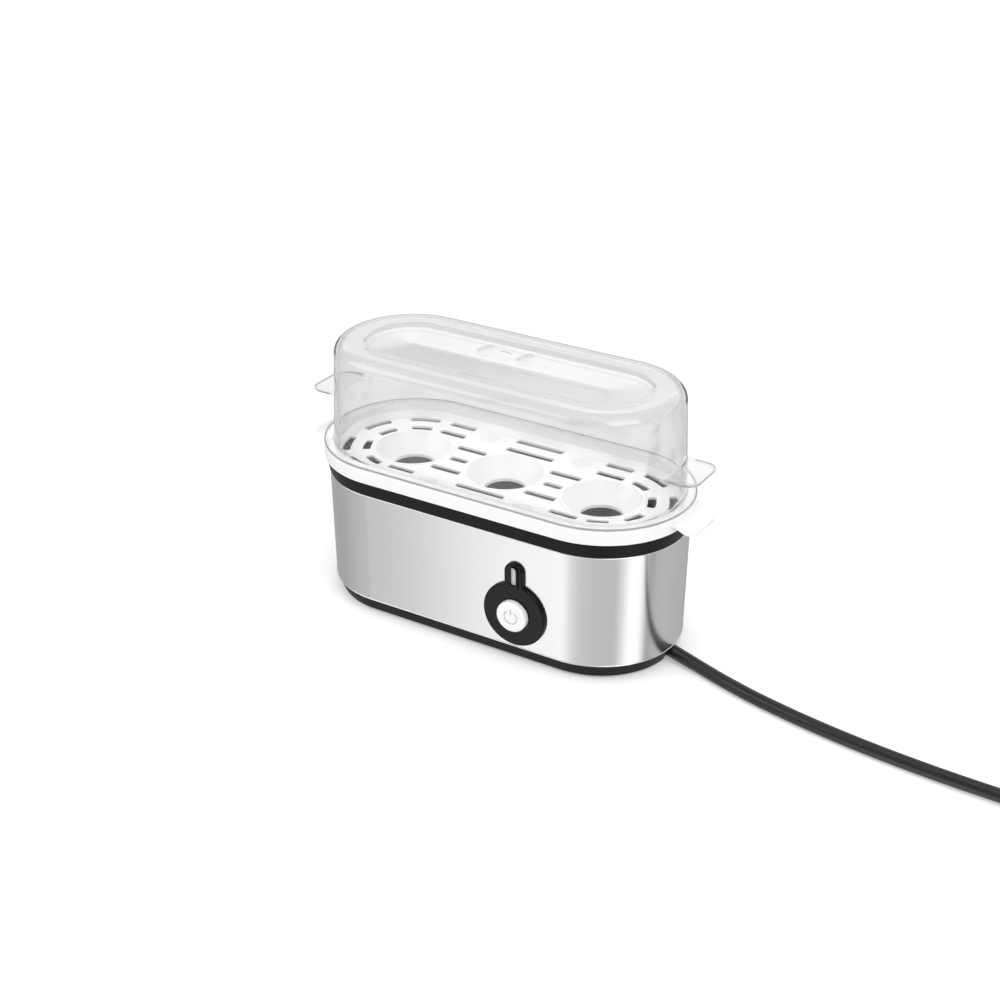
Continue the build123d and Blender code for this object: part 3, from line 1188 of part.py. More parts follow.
NODES = {
    "lid": make_lid,
    "egg_tray": make_tray,
    "collar": make_collar,
    "steel_sleeve": make_sleeve,
    "base": make_base,
    "rubber_feet": make_feet,
    "housing_screws": make_housing_screws,
    "water_basin": make_basin,
    "basin_seal": make_seal,
    "basin_posts": make_posts,
    "heat_spreader": make_spreader,
    "heater_element": make_heater,
    "heater_pins": make_heater_pins,
    "thermostat": make_thermostat,
    "spreader_screws": make_spreader_screws,
    "thermal_fuse": make_thermal_fuse,
    "fuse_clip": make_fuse_clip,
    "earth_tag": make_earth_tag,
    "control_bezel": make_bezel,
    "lamp_lens": make_lens,
    "neon_lamp": make_lamp,
    "lamp_holder": make_lamp_holder,
    "push_button": make_button,
    "switch_plunger": make_plunger,
    "latching_switch": make_switch,
    "switch_screws": make_switch_screws,
    "strain_relief": make_relief,
    "cord_stub": make_stub,
    "cord_clamp": make_cord_clamp,
    "clamp_screws": make_clamp_screws,
    "terminal_strip": make_terminal_strip,
    "cord_cores": make_cores,
    "live_wire": make_live_wire,
    "switched_wire": make_switched_wire,
    "fuse_wire": make_fuse_wire,
    "heater_wire": make_heater_wire,
    "neutral_wire": make_neutral_wire,
    "earth_wire": make_earth_wire,
    "cord": make_cord,
    "cord_coil": make_coil,
    "coil_tie": make_tie,
    "plug_body": make_plug_body,
    "plug_pins": make_plug_pins,
    "plug_earth_clips": make_earth_clips,
}

os.makedirs("parts", exist_ok=True)
for name, make in NODES.items():
    made = make()
    shape = Compound(children=list(made)) if isinstance(made, list) else made
    export_step(shape, f"parts/{name}.step")
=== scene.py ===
# %% [markdown]
# # An egg cooker for its portrait
# The solids of a small oval egg cooker are loaded as a fixed frame, and this script gives them
# their looks: a clear moulded lid, a white tray with egg cups, a brushed steel housing between two
# black mouldings, a keyhole plate with a push button, and a mains lead. Each step first says what
# the piece is on the real object, and then makes it.

# %% Load the frame
import json
import math

import bpy
import numpy as np
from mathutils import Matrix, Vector


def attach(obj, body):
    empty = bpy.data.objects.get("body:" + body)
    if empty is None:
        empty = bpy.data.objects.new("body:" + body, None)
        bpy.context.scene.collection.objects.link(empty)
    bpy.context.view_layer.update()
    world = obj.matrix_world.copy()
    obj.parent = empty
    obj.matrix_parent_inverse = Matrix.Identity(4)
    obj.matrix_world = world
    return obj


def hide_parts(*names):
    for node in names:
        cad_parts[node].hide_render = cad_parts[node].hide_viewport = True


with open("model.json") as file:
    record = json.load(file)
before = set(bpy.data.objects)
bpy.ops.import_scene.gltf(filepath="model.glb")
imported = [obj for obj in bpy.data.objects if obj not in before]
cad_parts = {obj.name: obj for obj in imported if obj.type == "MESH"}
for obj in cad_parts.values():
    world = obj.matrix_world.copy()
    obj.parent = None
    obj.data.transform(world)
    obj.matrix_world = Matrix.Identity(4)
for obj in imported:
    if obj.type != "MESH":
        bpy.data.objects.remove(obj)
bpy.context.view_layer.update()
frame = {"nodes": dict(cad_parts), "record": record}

MM = 0.001
scene = bpy.context.scene
scene.view_settings.view_transform = "Standard"

# %% [markdown]
# ## The camera
# The picture looks down on the cooker from its front right, from about 0.9 m. A camera looks along
# its own -Z, so one function gives the place on that line of sight and the turn that points the
# camera back at the target. The lens length is in millimetres on a sensor 36 mm wide.

# %% Camera
LENS_MM = 61.98
SENSOR_MM = 36.0
CAMERA_AZIMUTH, CAMERA_ELEVATION = 31.48, 27.44
CAMERA_DISTANCE = 883.6 * MM
CAMERA_TARGET = Vector((-3.15, 0.0, 62.54)) * MM
NEAREST, FARTHEST = 0.05, 50.0


def line_of_sight(azimuth, elevation):
    """Unit vector from a target to a viewer. Azimuth turns from the front towards +X, and
    elevation lifts it."""
    a, e = math.radians(azimuth), math.radians(elevation)
    return Vector((math.sin(a) * math.cos(e), -math.cos(a) * math.cos(e), math.sin(e)))


def point_from(obj, azimuth, elevation, distance, target):
    """Puts an object on a line of sight and turns its -Z to the target."""
    back = line_of_sight(azimuth, elevation)
    obj.location = target + back * distance
    obj.rotation_mode = "QUATERNION"
    obj.rotation_quaternion = (-back).to_track_quat("-Z", "Y")
    scene.collection.objects.link(obj)


view = bpy.data.cameras.new("photo_camera")
view.lens, view.sensor_width = LENS_MM, SENSOR_MM
view.clip_start, view.clip_end = NEAREST, FARTHEST
camera = bpy.data.objects.new("photo_camera", view)
point_from(camera, CAMERA_AZIMUTH, CAMERA_ELEVATION, CAMERA_DISTANCE, CAMERA_TARGET)
scene.camera = camera
print("camera at", [round(v, 4) for v in camera.location])

# %% [markdown]
# ## The mains lead
# A round three-core lead of 6.5 mm leaves the base at its right end, falls to the table within a
# few diameters and runs on towards the lower right. What the picture does not show is wound up
# beside the plug, a little over two turns in two layers, under a tie. A lead is one smooth line,
# so its route is a NURBS spline: the points below are its handles, the line passes near them.

# %% The lead's handles
LEAD_D = 6.5 * MM
FREE_POINTS = np.array([
    (111.71, -3.62, 3.92), (118.48, -5.31, 3.37), (130.6, -9.6, 3.35), (155.2, -16.7, 3.35),
    (195.4, -24.2, 3.35), (240.2, -28.4, 3.35), (284.0, -30.5, 4.2), (309.5, -30.5, 4.2),
])
COIL_CENTRE = (316.0, 8.0)
COIL_OUTER_R, COIL_PITCH, COIL_RISE, COIL_FLOOR = 38.5, 7.0, 7.0, 4.2
COIL_TURNS, COIL_TURNS_IN, LAYER_CHANGE_TURNS = 2.25, 1.25, 0.5
COIL_START_DEGREES, HANDLES_PER_TURN = -90, 16
LEAD_OUT = (352.75, 14.0, 11.2), (352.75, 20.6, 11.2)


def coil_handles():
    """Handles of the wound length, in millimetres. The angle grows evenly; the radius loses a pitch
    a turn up to the middle and gains it back one layer higher; the height follows half a cosine
    wave where the layers change. A smooth spline cuts inside its handles by the cosine of half
    their spacing, so the radius is divided by that."""
    turns = np.linspace(0.0, COIL_TURNS, round(COIL_TURNS * HANDLES_PER_TURN) + 1)
    angle = np.radians(COIL_START_DEGREES + 360 * turns)
    inward = np.minimum(turns, 2 * COIL_TURNS_IN - turns)
    radius = (COIL_OUTER_R - COIL_PITCH * inward) / math.cos(math.pi / HANDLES_PER_TURN)
    share = np.clip((turns - COIL_TURNS_IN + LAYER_CHANGE_TURNS / 2) / LAYER_CHANGE_TURNS, 0, 1)
    height = COIL_FLOOR + COIL_RISE * (1 - np.cos(np.pi * share)) / 2
    return np.column_stack([COIL_CENTRE[0] + radius * np.cos(angle),
                            COIL_CENTRE[1] + radius * np.sin(angle), height])


handles = np.vstack([FREE_POINTS, coil_handles()[:-1], LEAD_OUT]) * MM
print("lead handles", len(handles))

# %% The lead as a spline
curve = bpy.data.curves.new("mains_lead", "CURVE")
curve.dimensions = "3D"
spline = curve.splines.new("NURBS")
spline.points.add(len(handles) - 1)
spline.points.foreach_set("co", np.column_stack([handles, np.ones(len(handles))]).ravel())
spline.use_endpoint_u = True
spline.order_u = 3
spline.resolution_u = 8
# The points carry the lead's radius and the bevel is 1, because the box counts the points' radius.
spline.points.foreach_set("radius", np.full(len(handles), LEAD_D / 2))
curve.bevel_depth = 1.0
curve.bevel_resolution = 6
curve.use_fill_caps = True
lead = bpy.data.objects.new("mains_lead", curve)
scene.collection.objects.link(lead)
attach(lead, "housing")
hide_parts("cord", "cord_coil")

# %% [markdown]
# ## Building with nodes
# Materials and the room are small graphs of nodes. One function adds a node and links it, one
# empties a graph, one fills a ramp, and one turns a hex colour into the linear numbers of light.

# %% Node helpers
def linear(hex_colour):
    """An sRGB hex colour as linear numbers. Each part c of 1 becomes c / 12.92 when it is dark,
    and ((c + 0.055) / 1.055) ^ 2.4 otherwise."""
    srgb = np.array([int(hex_colour[i:i + 2], 16) / 255 for i in (1, 3, 5)])
    dark, light = srgb / 12.92, ((srgb + 0.055) / 1.055) ** 2.4
    return (*np.where(srgb <= 0.04045, dark, light).tolist(), 1.0)


def add(tree, kind, inputs=None, **settings):
    """Adds one node. An input that is given a socket is linked, and any other is set as a value."""
    node = tree.nodes.new("ShaderNode" + kind)
    for key, value in settings.items():
        setattr(node, key, value)
    for key, value in (inputs or {}).items():
        if isinstance(value, bpy.types.NodeSocket):
            tree.links.new(value, node.inputs[key])
        else:
            node.inputs[key].default_value = value
    return node


def blank_tree(owner):
    """The empty node tree of a material or world, ready for new nodes."""
    owner.use_nodes = True
    owner.node_tree.nodes.clear()
    return owner.node_tree


def set_ramp(node, stops):
    """Gives a colour ramp its stops: place from 0 to 1 and a grey value."""
    ramp = node.color_ramp
    while len(ramp.elements) < len(stops):
        ramp.elements.new(0.5)
    for element, (place, grey) in zip(ramp.elements, stops):
        element.position, element.color = place, (grey, grey, grey, 1.0)


WHITE = (1.0, 1.0, 1.0, 1.0)
print("mid grey is", round(linear("#808080")[0], 3))

# %% [markdown]
# ## The studio's room
# Brushed steel and clear plastic show little of their own colour: what the eye reads are the bands
# of the room in them. The room is the world here, and glossy rays look past the table into it. For
# them it is a ring of screens with grey gaps below the horizon, where upright walls look. Above
# stands a dome, where the lid's flat top looks. At the back it is grey up to 20 degrees, light
# from 21, brightest at 25 to 26, and dimmer again from 27 degrees on. At the front it is an even
# grey. For every other ray the room is plain, a little darker than white behind the clear lid, as
# the photographer's backdrop was, so that the lid stands out.

# %% Brightness round the room
ROOM_LIGHT = 0.74
BACKDROP_THROUGH_LID = 0.92
# Degrees round from the cooker's front towards its right end, and the ring's brightness there.
ROOM_BANDS = [
    (-180, 0.50), (-122, 0.50), (-89, 0.57), (-57, 0.73), (-44, 0.79), (-40, 0.75), (-37.5, 0.63),
    (-36.2, 0.54), (-35.2, 0.72), (-34.4, 1.17), (-33.6, 1.54), (-33, 1.69), (-31.2, 1.69),
    (-29.6, 1.59), (-21, 1.50), (-10, 1.1), (0, 0.92), (16, 0.84), (50, 0.78), (60, 1.2),
    (68, 1.65), (84, 1.65), (90, 1.15), (95, 0.5), (101, 0.60), (108, 0.73), (125, 0.73),
    (150, 0.66), (165, 0.62), (180, 0.55),
]
# Height on a sphere of radius 1, from straight down to straight up, and the dome's brightness.
DOME_BANDS = [
    (-1.0, 0.5), (0.347, 0.5), (0.362, 1.1), (0.40, 1.2), (0.425, 1.9), (0.442, 1.9), (0.46, 0.9),
    (0.8, 0.6), (1.0, 0.45),
]
DOME_FRONT = 0.45
# A ramp holds greys up to 1, so its greys are parts of a peak, which is the light's strength.
RING_PEAK, DOME_PEAK = 2.0, 3.0
# Directions from BACK_FROM to BACK_TO backwards blend the front of the dome into its back, and
# those from DOME_FROM to DOME_TO upwards blend the ring into the dome.
BACK_FROM, BACK_TO = 0.2, 0.5
DOME_FROM, DOME_TO = -0.1, 0.0
print("ring", len(ROOM_BANDS), "stops, dome", len(DOME_BANDS), "stops")

# %% The room
room = bpy.data.worlds.new("studio")
scene.world = room
tree = blank_tree(room)
direction = add(tree, "SeparateXYZ", {0: add(tree, "TexCoord").outputs["Generated"]})
to_front = add(tree, "Math", {0: direction.outputs["Y"], 1: -1.0}, operation="MULTIPLY")
turn = add(tree, "Math", {0: direction.outputs["X"], 1: to_front.outputs[0]}, operation="ARCTAN2")
share = add(tree, "MapRange", {"Value": turn.outputs[0], "From Min": -math.pi,
                               "From Max": math.pi})
bands = add(tree, "ValToRGB", {"Fac": share.outputs[0]})
set_ramp(bands, [((angle + 180) / 360, grey / RING_PEAK) for angle, grey in ROOM_BANDS])
height = add(tree, "MapRange", {"Value": direction.outputs["Z"], "From Min": -1.0, "From Max": 1.0})
dome = add(tree, "ValToRGB", {"Fac": height.outputs[0]})
set_ramp(dome, [((z + 1) / 2, grey / DOME_PEAK) for z, grey in DOME_BANDS])
behind = add(tree, "MapRange", {"Value": direction.outputs["Y"], "From Min": BACK_FROM,
                                "From Max": BACK_TO})
above = add(tree, "MapRange", {"Value": direction.outputs["Z"], "From Min": DOME_FROM,
                               "From Max": DOME_TO})
ring = add(tree, "Background", {"Color": bands.outputs["Color"], "Strength": RING_PEAK})
front = add(tree, "Background", {"Color": WHITE, "Strength": DOME_FRONT})
back = add(tree, "Background", {"Color": dome.outputs["Color"], "Strength": DOME_PEAK})
sky = add(tree, "MixShader", {0: behind.outputs[0], 1: front.outputs[0], 2: back.outputs[0]})
banded = add(tree, "MixShader", {0: above.outputs[0], 1: ring.outputs[0], 2: sky.outputs[0]})
print("room nodes", len(tree.nodes))

# %% The room for every other ray
rays = add(tree, "LightPath")
through = add(tree, "MapRange", {"Value": rays.outputs["Is Transmission Ray"], "To Min": ROOM_LIGHT,
                                 "To Max": BACKDROP_THROUGH_LID})
plain = add(tree, "Math", {0: rays.outputs["Is Camera Ray"], 1: through.outputs[0]},
            operation="MAXIMUM")
flat_room = add(tree, "Background", {"Color": WHITE, "Strength": plain.outputs[0]})
mixed = add(tree, "MixShader", {0: rays.outputs["Is Glossy Ray"], 1: flat_room.outputs[0],
                                2: banded.outputs[0]})
add(tree, "OutputWorld", {"Surface": mixed.outputs[0]})
print("room nodes", len(tree.nodes))

# %% [markdown]
# ## The table
# The picture is a cut-out on white, so the table is white and goes on to the horizon. It is lit
# paint with a little glow of its own for the camera, and the paint keeps the cooker's soft shadow.
# Past that shadow, between 0.22 and 0.5 m from the middle, it turns into the pure white of the
# cut-out, also where it is seen through the clear lid.

# %% The table's paint
TABLE_GLOW = 0.27
WHITE_FROM, WHITE_TO = 0.22, 0.5

table_paint = bpy.data.materials.new("white_table")
tree = blank_tree(table_paint)
rays = add(tree, "LightPath")
glow = add(tree, "Math", {0: rays.outputs["Is Camera Ray"], 1: TABLE_GLOW}, operation="MULTIPLY")
lit = add(tree, "BsdfDiffuse", {"Color": linear("#EFEFEF")})
shine = add(tree, "Emission", {"Strength": glow.outputs[0]})
both = add(tree, "AddShader", {0: lit.outputs[0], 1: shine.outputs[0]})
middle = add(tree, "TexCoord")
reach = add(tree, "VectorMath", {0: middle.outputs["Object"]}, operation="LENGTH")
away = add(tree, "MapRange", {"Value": reach.outputs["Value"], "From Min": WHITE_FROM,
                              "From Max": WHITE_TO})
shown = add(tree, "Math", {0: rays.outputs["Is Camera Ray"],
                           1: rays.outputs["Is Transmission Ray"]}, operation="MAXIMUM")
cut_out = add(tree, "Math", {0: shown.outputs[0], 1: away.outputs[0]}, operation="MULTIPLY")
white = add(tree, "Emission", {"Strength": 1.0})
paint = add(tree, "MixShader", {0: cut_out.outputs[0], 1: both.outputs[0], 2: white.outputs[0]})
add(tree, "OutputMaterial", {"Surface": paint.outputs[0]})
print("table nodes", len(tree.nodes))

# %% The table
TABLE_SIZE = 12.0
half = TABLE_SIZE / 2
corners = [(-half, -half, 0), (half, -half, 0), (half, half, 0), (-half, half, 0)]
mesh = bpy.data.meshes.new("table")
mesh.from_pydata(corners, [], [(0, 1, 2, 3)])
mesh.materials.append(table_paint)
table = bpy.data.objects.new("table", mesh)
scene.collection.objects.link(table)
table.visible_glossy = False
print("table", TABLE_SIZE, "m wide")

# %% [markdown]
# ## The lamps
# Three square soft boxes light the cooker from outside the picture: a key from the right, a weaker
# fill from the left, and a faint one overhead.

# %% Lamps
# name, azimuth, elevation, distance in metres, width in metres, watts
LAMPS = [("key_lamp", 60.0, 45.0, 1.7, 1.1, 8.6), ("fill_lamp", -55.0, 34.0, 1.8, 1.2, 6.3),
         ("top_lamp", 20.0, 85.0, 1.6, 1.3, 3.3)]
for name, azimuth, elevation, distance, width, watts in LAMPS:
    lamp = bpy.data.lights.new(name, "AREA")
    lamp.size, lamp.energy = width, watts
    point_from(bpy.data.objects.new(name, lamp), azimuth, elevation, distance, CAMERA_TARGET)
    print(name, watts, "W")

# %% [markdown]
# ## Moulded plastics
# A moulded surface is smooth but never perfect: the mould's own texture is a fine even grain of a
# few tenths of a millimetre, and the gloss drifts a little over centimetres where the wall cooled
# unevenly. One recipe serves them all. A small noise lifts the surface by its grain, and a large
# noise moves the roughness around its middle value.

# %% The recipe for a moulding
COOLING_MM = 12
ROUGHNESS_DRIFT = 0.25


def start(name, **sockets):
    """A new material with one Principled shader, whose sockets get plain values."""
    material = bpy.data.materials.new(name)
    tree = blank_tree(material)
    shader = add(tree, "BsdfPrincipled", {k.replace("_", " "): v for k, v in sockets.items()})
    add(tree, "OutputMaterial", {"Surface": shader.outputs[0]})
    place = add(tree, "TexCoord").outputs["Object"]
    return material, tree, shader, place


def moulding(name, colour, roughness, grain_mm=0.4, grain_height_mm=0.004, **sockets):
    """Moulded plastic: a noise of one grain per grain_mm as bump, and a noise of one patch per
    COOLING_MM on the roughness."""
    material, tree, shader, place = start(name, Base_Color=linear(colour), **sockets)
    grain = add(tree, "TexNoise", {"Vector": place, "Scale": 1 / (grain_mm * MM), "Detail": 3.0})
    bump = add(tree, "Bump", {"Height": grain.outputs[0], "Distance": grain_height_mm * MM})
    patches = add(tree, "TexNoise", {"Vector": place, "Scale": 1 / (COOLING_MM * MM),
                                     "Detail": 2.0})
    spread = add(tree, "MapRange", {"Value": patches.outputs[0],
                                    "To Min": roughness * (1 - ROUGHNESS_DRIFT),
                                    "To Max": roughness * (1 + ROUGHNESS_DRIFT)})
    tree.links.new(bump.outputs[0], shader.inputs["Normal"])
    tree.links.new(spread.outputs[0], shader.inputs["Roughness"])
    return material


FINISH = {
    "white_plastic": moulding("white_polypropylene", "#FAFAF9", 0.32, IOR=1.49,
                              Subsurface_Weight=0.08, Subsurface_Radius=(0.003, 0.003, 0.003),
                              Subsurface_Scale=1.0),
    "black_plastic": moulding("black_satin_abs", "#0E0E0F", 0.42, IOR=1.54,
                              Specular_IOR_Level=0.13),
    "gloss_black": moulding("black_polished_abs", "#0A0A0B", 0.14, grain_height_mm=0.001, IOR=1.54,
                            Specular_IOR_Level=0.15),
    "cord_rubber": moulding("black_pvc_sheath", "#161617", 0.3, grain_mm=0.8, grain_height_mm=0.01,
                            IOR=1.53),
    "foot_rubber": moulding("black_foot_rubber", "#1B1B1C", 0.7, IOR=1.52),
    "seal_silicone": moulding("grey_silicone", "#C4C4C0", 0.55, IOR=1.41),
    "brown_moulding": moulding("brown_phenolic", "#5A3422", 0.4, IOR=1.6),
    "wire_blue": moulding("blue_pvc_wire", "#2B63B5", 0.35, IOR=1.53),
    "wire_brown": moulding("brown_pvc_wire", "#6B3A22", 0.35, IOR=1.53),
    "wire_green": moulding("green_pvc_wire", "#6FA02C", 0.35, IOR=1.53),
    "lens_plastic": moulding("milky_lens", "#FFFFFF", 0.2, IOR=1.49, Transmission_Weight=0.15),
    # Grey for the button's on-off mark, and painted shade on the lid's clear vent arch.
    "grey_mark": moulding("grey_mark_and_painted_arch_shade", "#BFC0C3", 0.4, IOR=1.5),
    # Opaque grey, painted shade for the clear lid's edges.
    "sheet_edge": moulding("painted_shade_styrene_edge", "#A6A6A8", 0.3, IOR=1.59),
}
print("mouldings", sorted(FINISH))

# %% [markdown]
# ## Clear mouldings
# The lid is injection-moulded styrene plastic, water-clear and polished. In the picture its thin
# wall shows what is behind it nearly in place, with no dark lines along its edges, so its body
# bends light very little, with an index of 1.05. The plastic's own gloss, of index 1.5, is a coat
# on it. The body takes a little light on the way, so walls seen along their length turn grey.

# %% Clear plastic and lamp glass
WAVE_MM, WAVE_HEIGHT_MM = 20, 0.02
LIGHT_LOST_PER_METRE = 24.0


def clear(name, colour, roughness, ior, **sockets):
    """Clear plastic or glass: full transmission, with a noise of one wave per WAVE_MM as bump."""
    material, tree, shader, place = start(name, Base_Color=linear(colour), Roughness=roughness,
                                          IOR=ior, Transmission_Weight=1.0, **sockets)
    waves = add(tree, "TexNoise", {"Vector": place, "Scale": 1 / (WAVE_MM * MM), "Detail": 1.0})
    bump = add(tree, "Bump", {"Height": waves.outputs[0], "Distance": WAVE_HEIGHT_MM * MM})
    tree.links.new(bump.outputs[0], shader.inputs["Normal"])
    return material


FINISH["clear_plastic"] = clear("clear_styrene", "#FAFAFA", 0.02, 1.05, Coat_Weight=1.0,
                                Coat_IOR=1.5, Coat_Roughness=0.02)
styrene = FINISH["clear_plastic"].node_tree
smoke = add(styrene, "VolumeAbsorption", {"Color": (0.0, 0.0, 0.0, 1.0),
                                          "Density": LIGHT_LOST_PER_METRE})
output = next(node for node in styrene.nodes if node.type == "OUTPUT_MATERIAL")
styrene.links.new(smoke.outputs[0], output.inputs["Volume"])
FINISH["lamp_glass"] = clear("lamp_glass", "#F5D9B8", 0.02, 1.5)
print("clear_styrene nodes", len(styrene.nodes))

# %% [markdown]
# ## Metals
# The housing is stainless sheet, brushed along its length. Each scratch is a fraction of a
# millimetre high and centimetres long, so the noise is squeezed along Z and stretched along the
# wall. Real brush lines are under 0.1 mm high. They are drawn at 0.25 mm, coarser than real,
# because the picture can't hold finer ones. A surface of long scratches spreads a reflection
# across them, up and down here, which is what the shader's anisotropy does with the tangent round
# the vertical axis, turned a quarter.

# %% The recipe for sheet metal
BRUSHED_MM = (25.0, 25.0, 0.25)


def sheet_metal(name, colour, roughness, anisotropy=0.0, scratch_mm=BRUSHED_MM, height_mm=0.0008):
    """Worked metal: a noise stretched to the scratch's size in each direction, as bump and on the
    roughness."""
    material, tree, shader, place = start(name, Base_Color=linear(colour), Metallic=1.0,
                                          Anisotropic=anisotropy, Anisotropic_Rotation=0.25)
    per_metre = [1 / (size * MM) for size in scratch_mm]
    stretched = add(tree, "Mapping", {"Vector": place, "Scale": per_metre})
    scratches = add(tree, "TexNoise", {"Vector": stretched.outputs[0], "Scale": 1.0,
                                       "Detail": 4.0})
    spread = add(tree, "MapRange", {"Value": scratches.outputs[0],
                                    "To Min": roughness * (1 - ROUGHNESS_DRIFT),
                                    "To Max": roughness * (1 + ROUGHNESS_DRIFT)})
    bump = add(tree, "Bump", {"Height": scratches.outputs[0], "Distance": height_mm * MM})
    tree.links.new(spread.outputs[0], shader.inputs["Roughness"])
    tree.links.new(bump.outputs[0], shader.inputs["Normal"])
    if anisotropy:
        round_z = add(tree, "Tangent", direction_type="RADIAL", axis="Z")
        tree.links.new(round_z.outputs[0], shader.inputs["Tangent"])
    return material


FINISH.update({
    "brushed_steel": sheet_metal("brushed_stainless", "#D0D0D0", 0.2, anisotropy=0.7,
                                 height_mm=0.0003),
    "basin_steel": sheet_metal("pressed_stainless", "#B9B9B7", 0.3, scratch_mm=(8, 8, 8)),
    "element_steel": sheet_metal("annealed_sheath", "#6E6A66", 0.5, scratch_mm=(3, 3, 3)),
    "screw_steel": sheet_metal("zinc_plated_steel", "#BDBDBA", 0.25, scratch_mm=(2, 2, 2)),
    "cast_aluminium": sheet_metal("cast_aluminium", "#C9CBCD", 0.5, scratch_mm=(1, 1, 1),
                                  height_mm=0.01),
    "brass_tag": sheet_metal("plain_brass", "#D9BE6A", 0.3, scratch_mm=(2, 2, 2)),
    "plated_brass": sheet_metal("nickel_plated_brass", "#D2D0CB", 0.2, scratch_mm=(2, 2, 2)),
    # Steel lightened past any real steel: a painted highlight on the rolled edges.
    "bright_edge": sheet_metal("steel_lightened_as_highlight", "#F2F2F2", 0.15, scratch_mm=(2, 2, 2)),
})
print("finishes", len(FINISH))

# %% [markdown]
# ## Every node gets its finish
# The record names a finish for each solid. The solid keeps its shape, and its one material slot
# gets the material of that name. The lid casts no shadow, because in the picture the tray under it
# is as white as in the open.

# %% Dress the solids
slot_of = {part["node"]: part["material_slot"] for part in frame["record"]["subparts"]}
for node, obj in frame["nodes"].items():
    obj.data.materials.clear()
    obj.data.materials.append(FINISH[slot_of[node]])
curve.materials.append(FINISH["cord_rubber"])
frame["nodes"]["lid"].visible_shadow = False
print("dressed", len(slot_of), "nodes")

# %% [markdown]
# ## Shading that runs on
# The cooker's outline is an oval of two half circles and two straight sides, and gloss shows
# every break where they meet. At each corner of a face the mesh holds the direction that the
# surface is shaded as facing. Here a few of these directions are mended. No corner moves.

# %% Mend the shading
END_X = 56.0
WALLS_FROM = 36.0
SLIVER_DEGREES, WALL_DEGREES = 30, 4
NEARLY_LEVEL = 0.1


def mend_shading(node):
    """Where a corner's direction leans over SLIVER_DEGREES off its face, it takes the face's own.
    Where a wall runs round the oval, a straight line away from the line between the two end
    centres gives the level part of the direction, if the two are within WALL_DEGREES."""
    mesh = node.data
    corners, faces = len(mesh.loops), len(mesh.polygons)
    normal, own, total = np.empty(3 * corners), np.empty(3 * faces), np.empty(faces, int)
    vertex = np.empty(corners, np.int32)
    place = np.empty(3 * len(mesh.vertices), np.float32)
    mesh.corner_normals.foreach_get("vector", normal)
    mesh.polygons.foreach_get("normal", own)
    mesh.polygons.foreach_get("loop_total", total)
    mesh.loops.foreach_get("vertex_index", vertex)
    mesh.vertices.foreach_get("co", place)
    normal, own = normal.reshape(-1, 3), np.repeat(own.reshape(-1, 3), total, axis=0)
    off = (normal * own).sum(1) < math.cos(math.radians(SLIVER_DEGREES))
    normal[off] = own[off]
    away = place.reshape(-1, 3)[vertex, :2] / MM
    away[:, 0] -= np.clip(away[:, 0], -END_X, END_X)
    reach = np.maximum(np.hypot(*away.T), MM)
    away /= reach[:, None]
    level = np.hypot(normal[:, 0], normal[:, 1])
    along = (normal[:, :2] * away).sum(1)
    beside = np.abs(along) > level * math.cos(math.radians(WALL_DEGREES))
    wall = (reach > WALLS_FROM) & (level > NEARLY_LEVEL) & beside
    normal[wall, :2] = away[wall] * (np.sign(along) * level)[wall, None]
    mesh.normals_split_custom_set(normal.tolist())
    print(node.name, "slivers", int(off.sum()), "walls", int(wall.sum()))


for name in ("lid", "egg_tray", "collar", "steel_sleeve", "base"):
    mend_shading(frame["nodes"][name])

# %% [markdown]
# ## Beads
# What the solids leave out are thin lines: rolled edges, whose steel is lightened as a painted
# highlight, the edges of the clear sheet in painted grey shade, and two moulded marks, of which
# the lid's arch is painted shade. Each is a bead, which is an ellipse carried along a line on the
# surface, half of it sunk in what it sits on.

# %% A bead along a line
BEAD_SIDES = 12
UP = (0.0, 0.0, 1.0)


def bead(name, body, slot, finish, centre, across, up, half_width, half_height, closed=False):
    """At each point of the line stands an ellipse: half_width times the cosine goes across, and
    half_height times the sine goes up. A closed line joins its last ring to its first, and an
    open one gets end faces."""
    if np.dot(centre[1] - centre[0], np.cross(across[0], up[0])) < 0:
        centre, across, up = centre[::-1], across[::-1], up[::-1]
    turn = np.linspace(0, 2 * np.pi, BEAD_SIDES, endpoint=False)
    rings = (centre[:, None] + half_width * np.cos(turn)[None, :, None] * across[:, None]
             + half_height * np.sin(turn)[None, :, None] * up[:, None])
    count = len(centre)
    side = np.arange(BEAD_SIDES)[None]
    ring = np.arange(count if closed else count - 1)[:, None] * BEAD_SIDES
    after, beside = (ring + BEAD_SIDES) % (count * BEAD_SIDES), (side + 1) % BEAD_SIDES
    quads = np.stack([ring + side, ring + beside, after + beside, after + side], -1)
    faces = quads.reshape(-1, 4).tolist()
    if not closed:
        last = (count - 1) * BEAD_SIDES
        faces += [list(range(BEAD_SIDES))[::-1], list(range(last, last + BEAD_SIDES))]
    mesh = bpy.data.meshes.new(name)
    mesh.from_pydata((rings.reshape(-1, 3) * MM).tolist(), [], faces)
    mesh.polygons.foreach_set("use_smooth", np.ones(len(faces), bool))
    mesh.materials.append(FINISH[finish])
    piece = bpy.data.objects.new(name, mesh)
    scene.collection.objects.link(piece)
    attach(piece, body)
    print(name, len(faces), "faces")


# %% [markdown]
# ## The sleeve's rolled edges
# The steel sheet is rolled over at its top and bottom, and each roll catches a thin bright line of
# light all round. The roll is a real bead that reflects the room, and its steel is lightened past
# real steel to paint that line brighter. The line follows the oval: from each end centre, a half
# circle outwards.

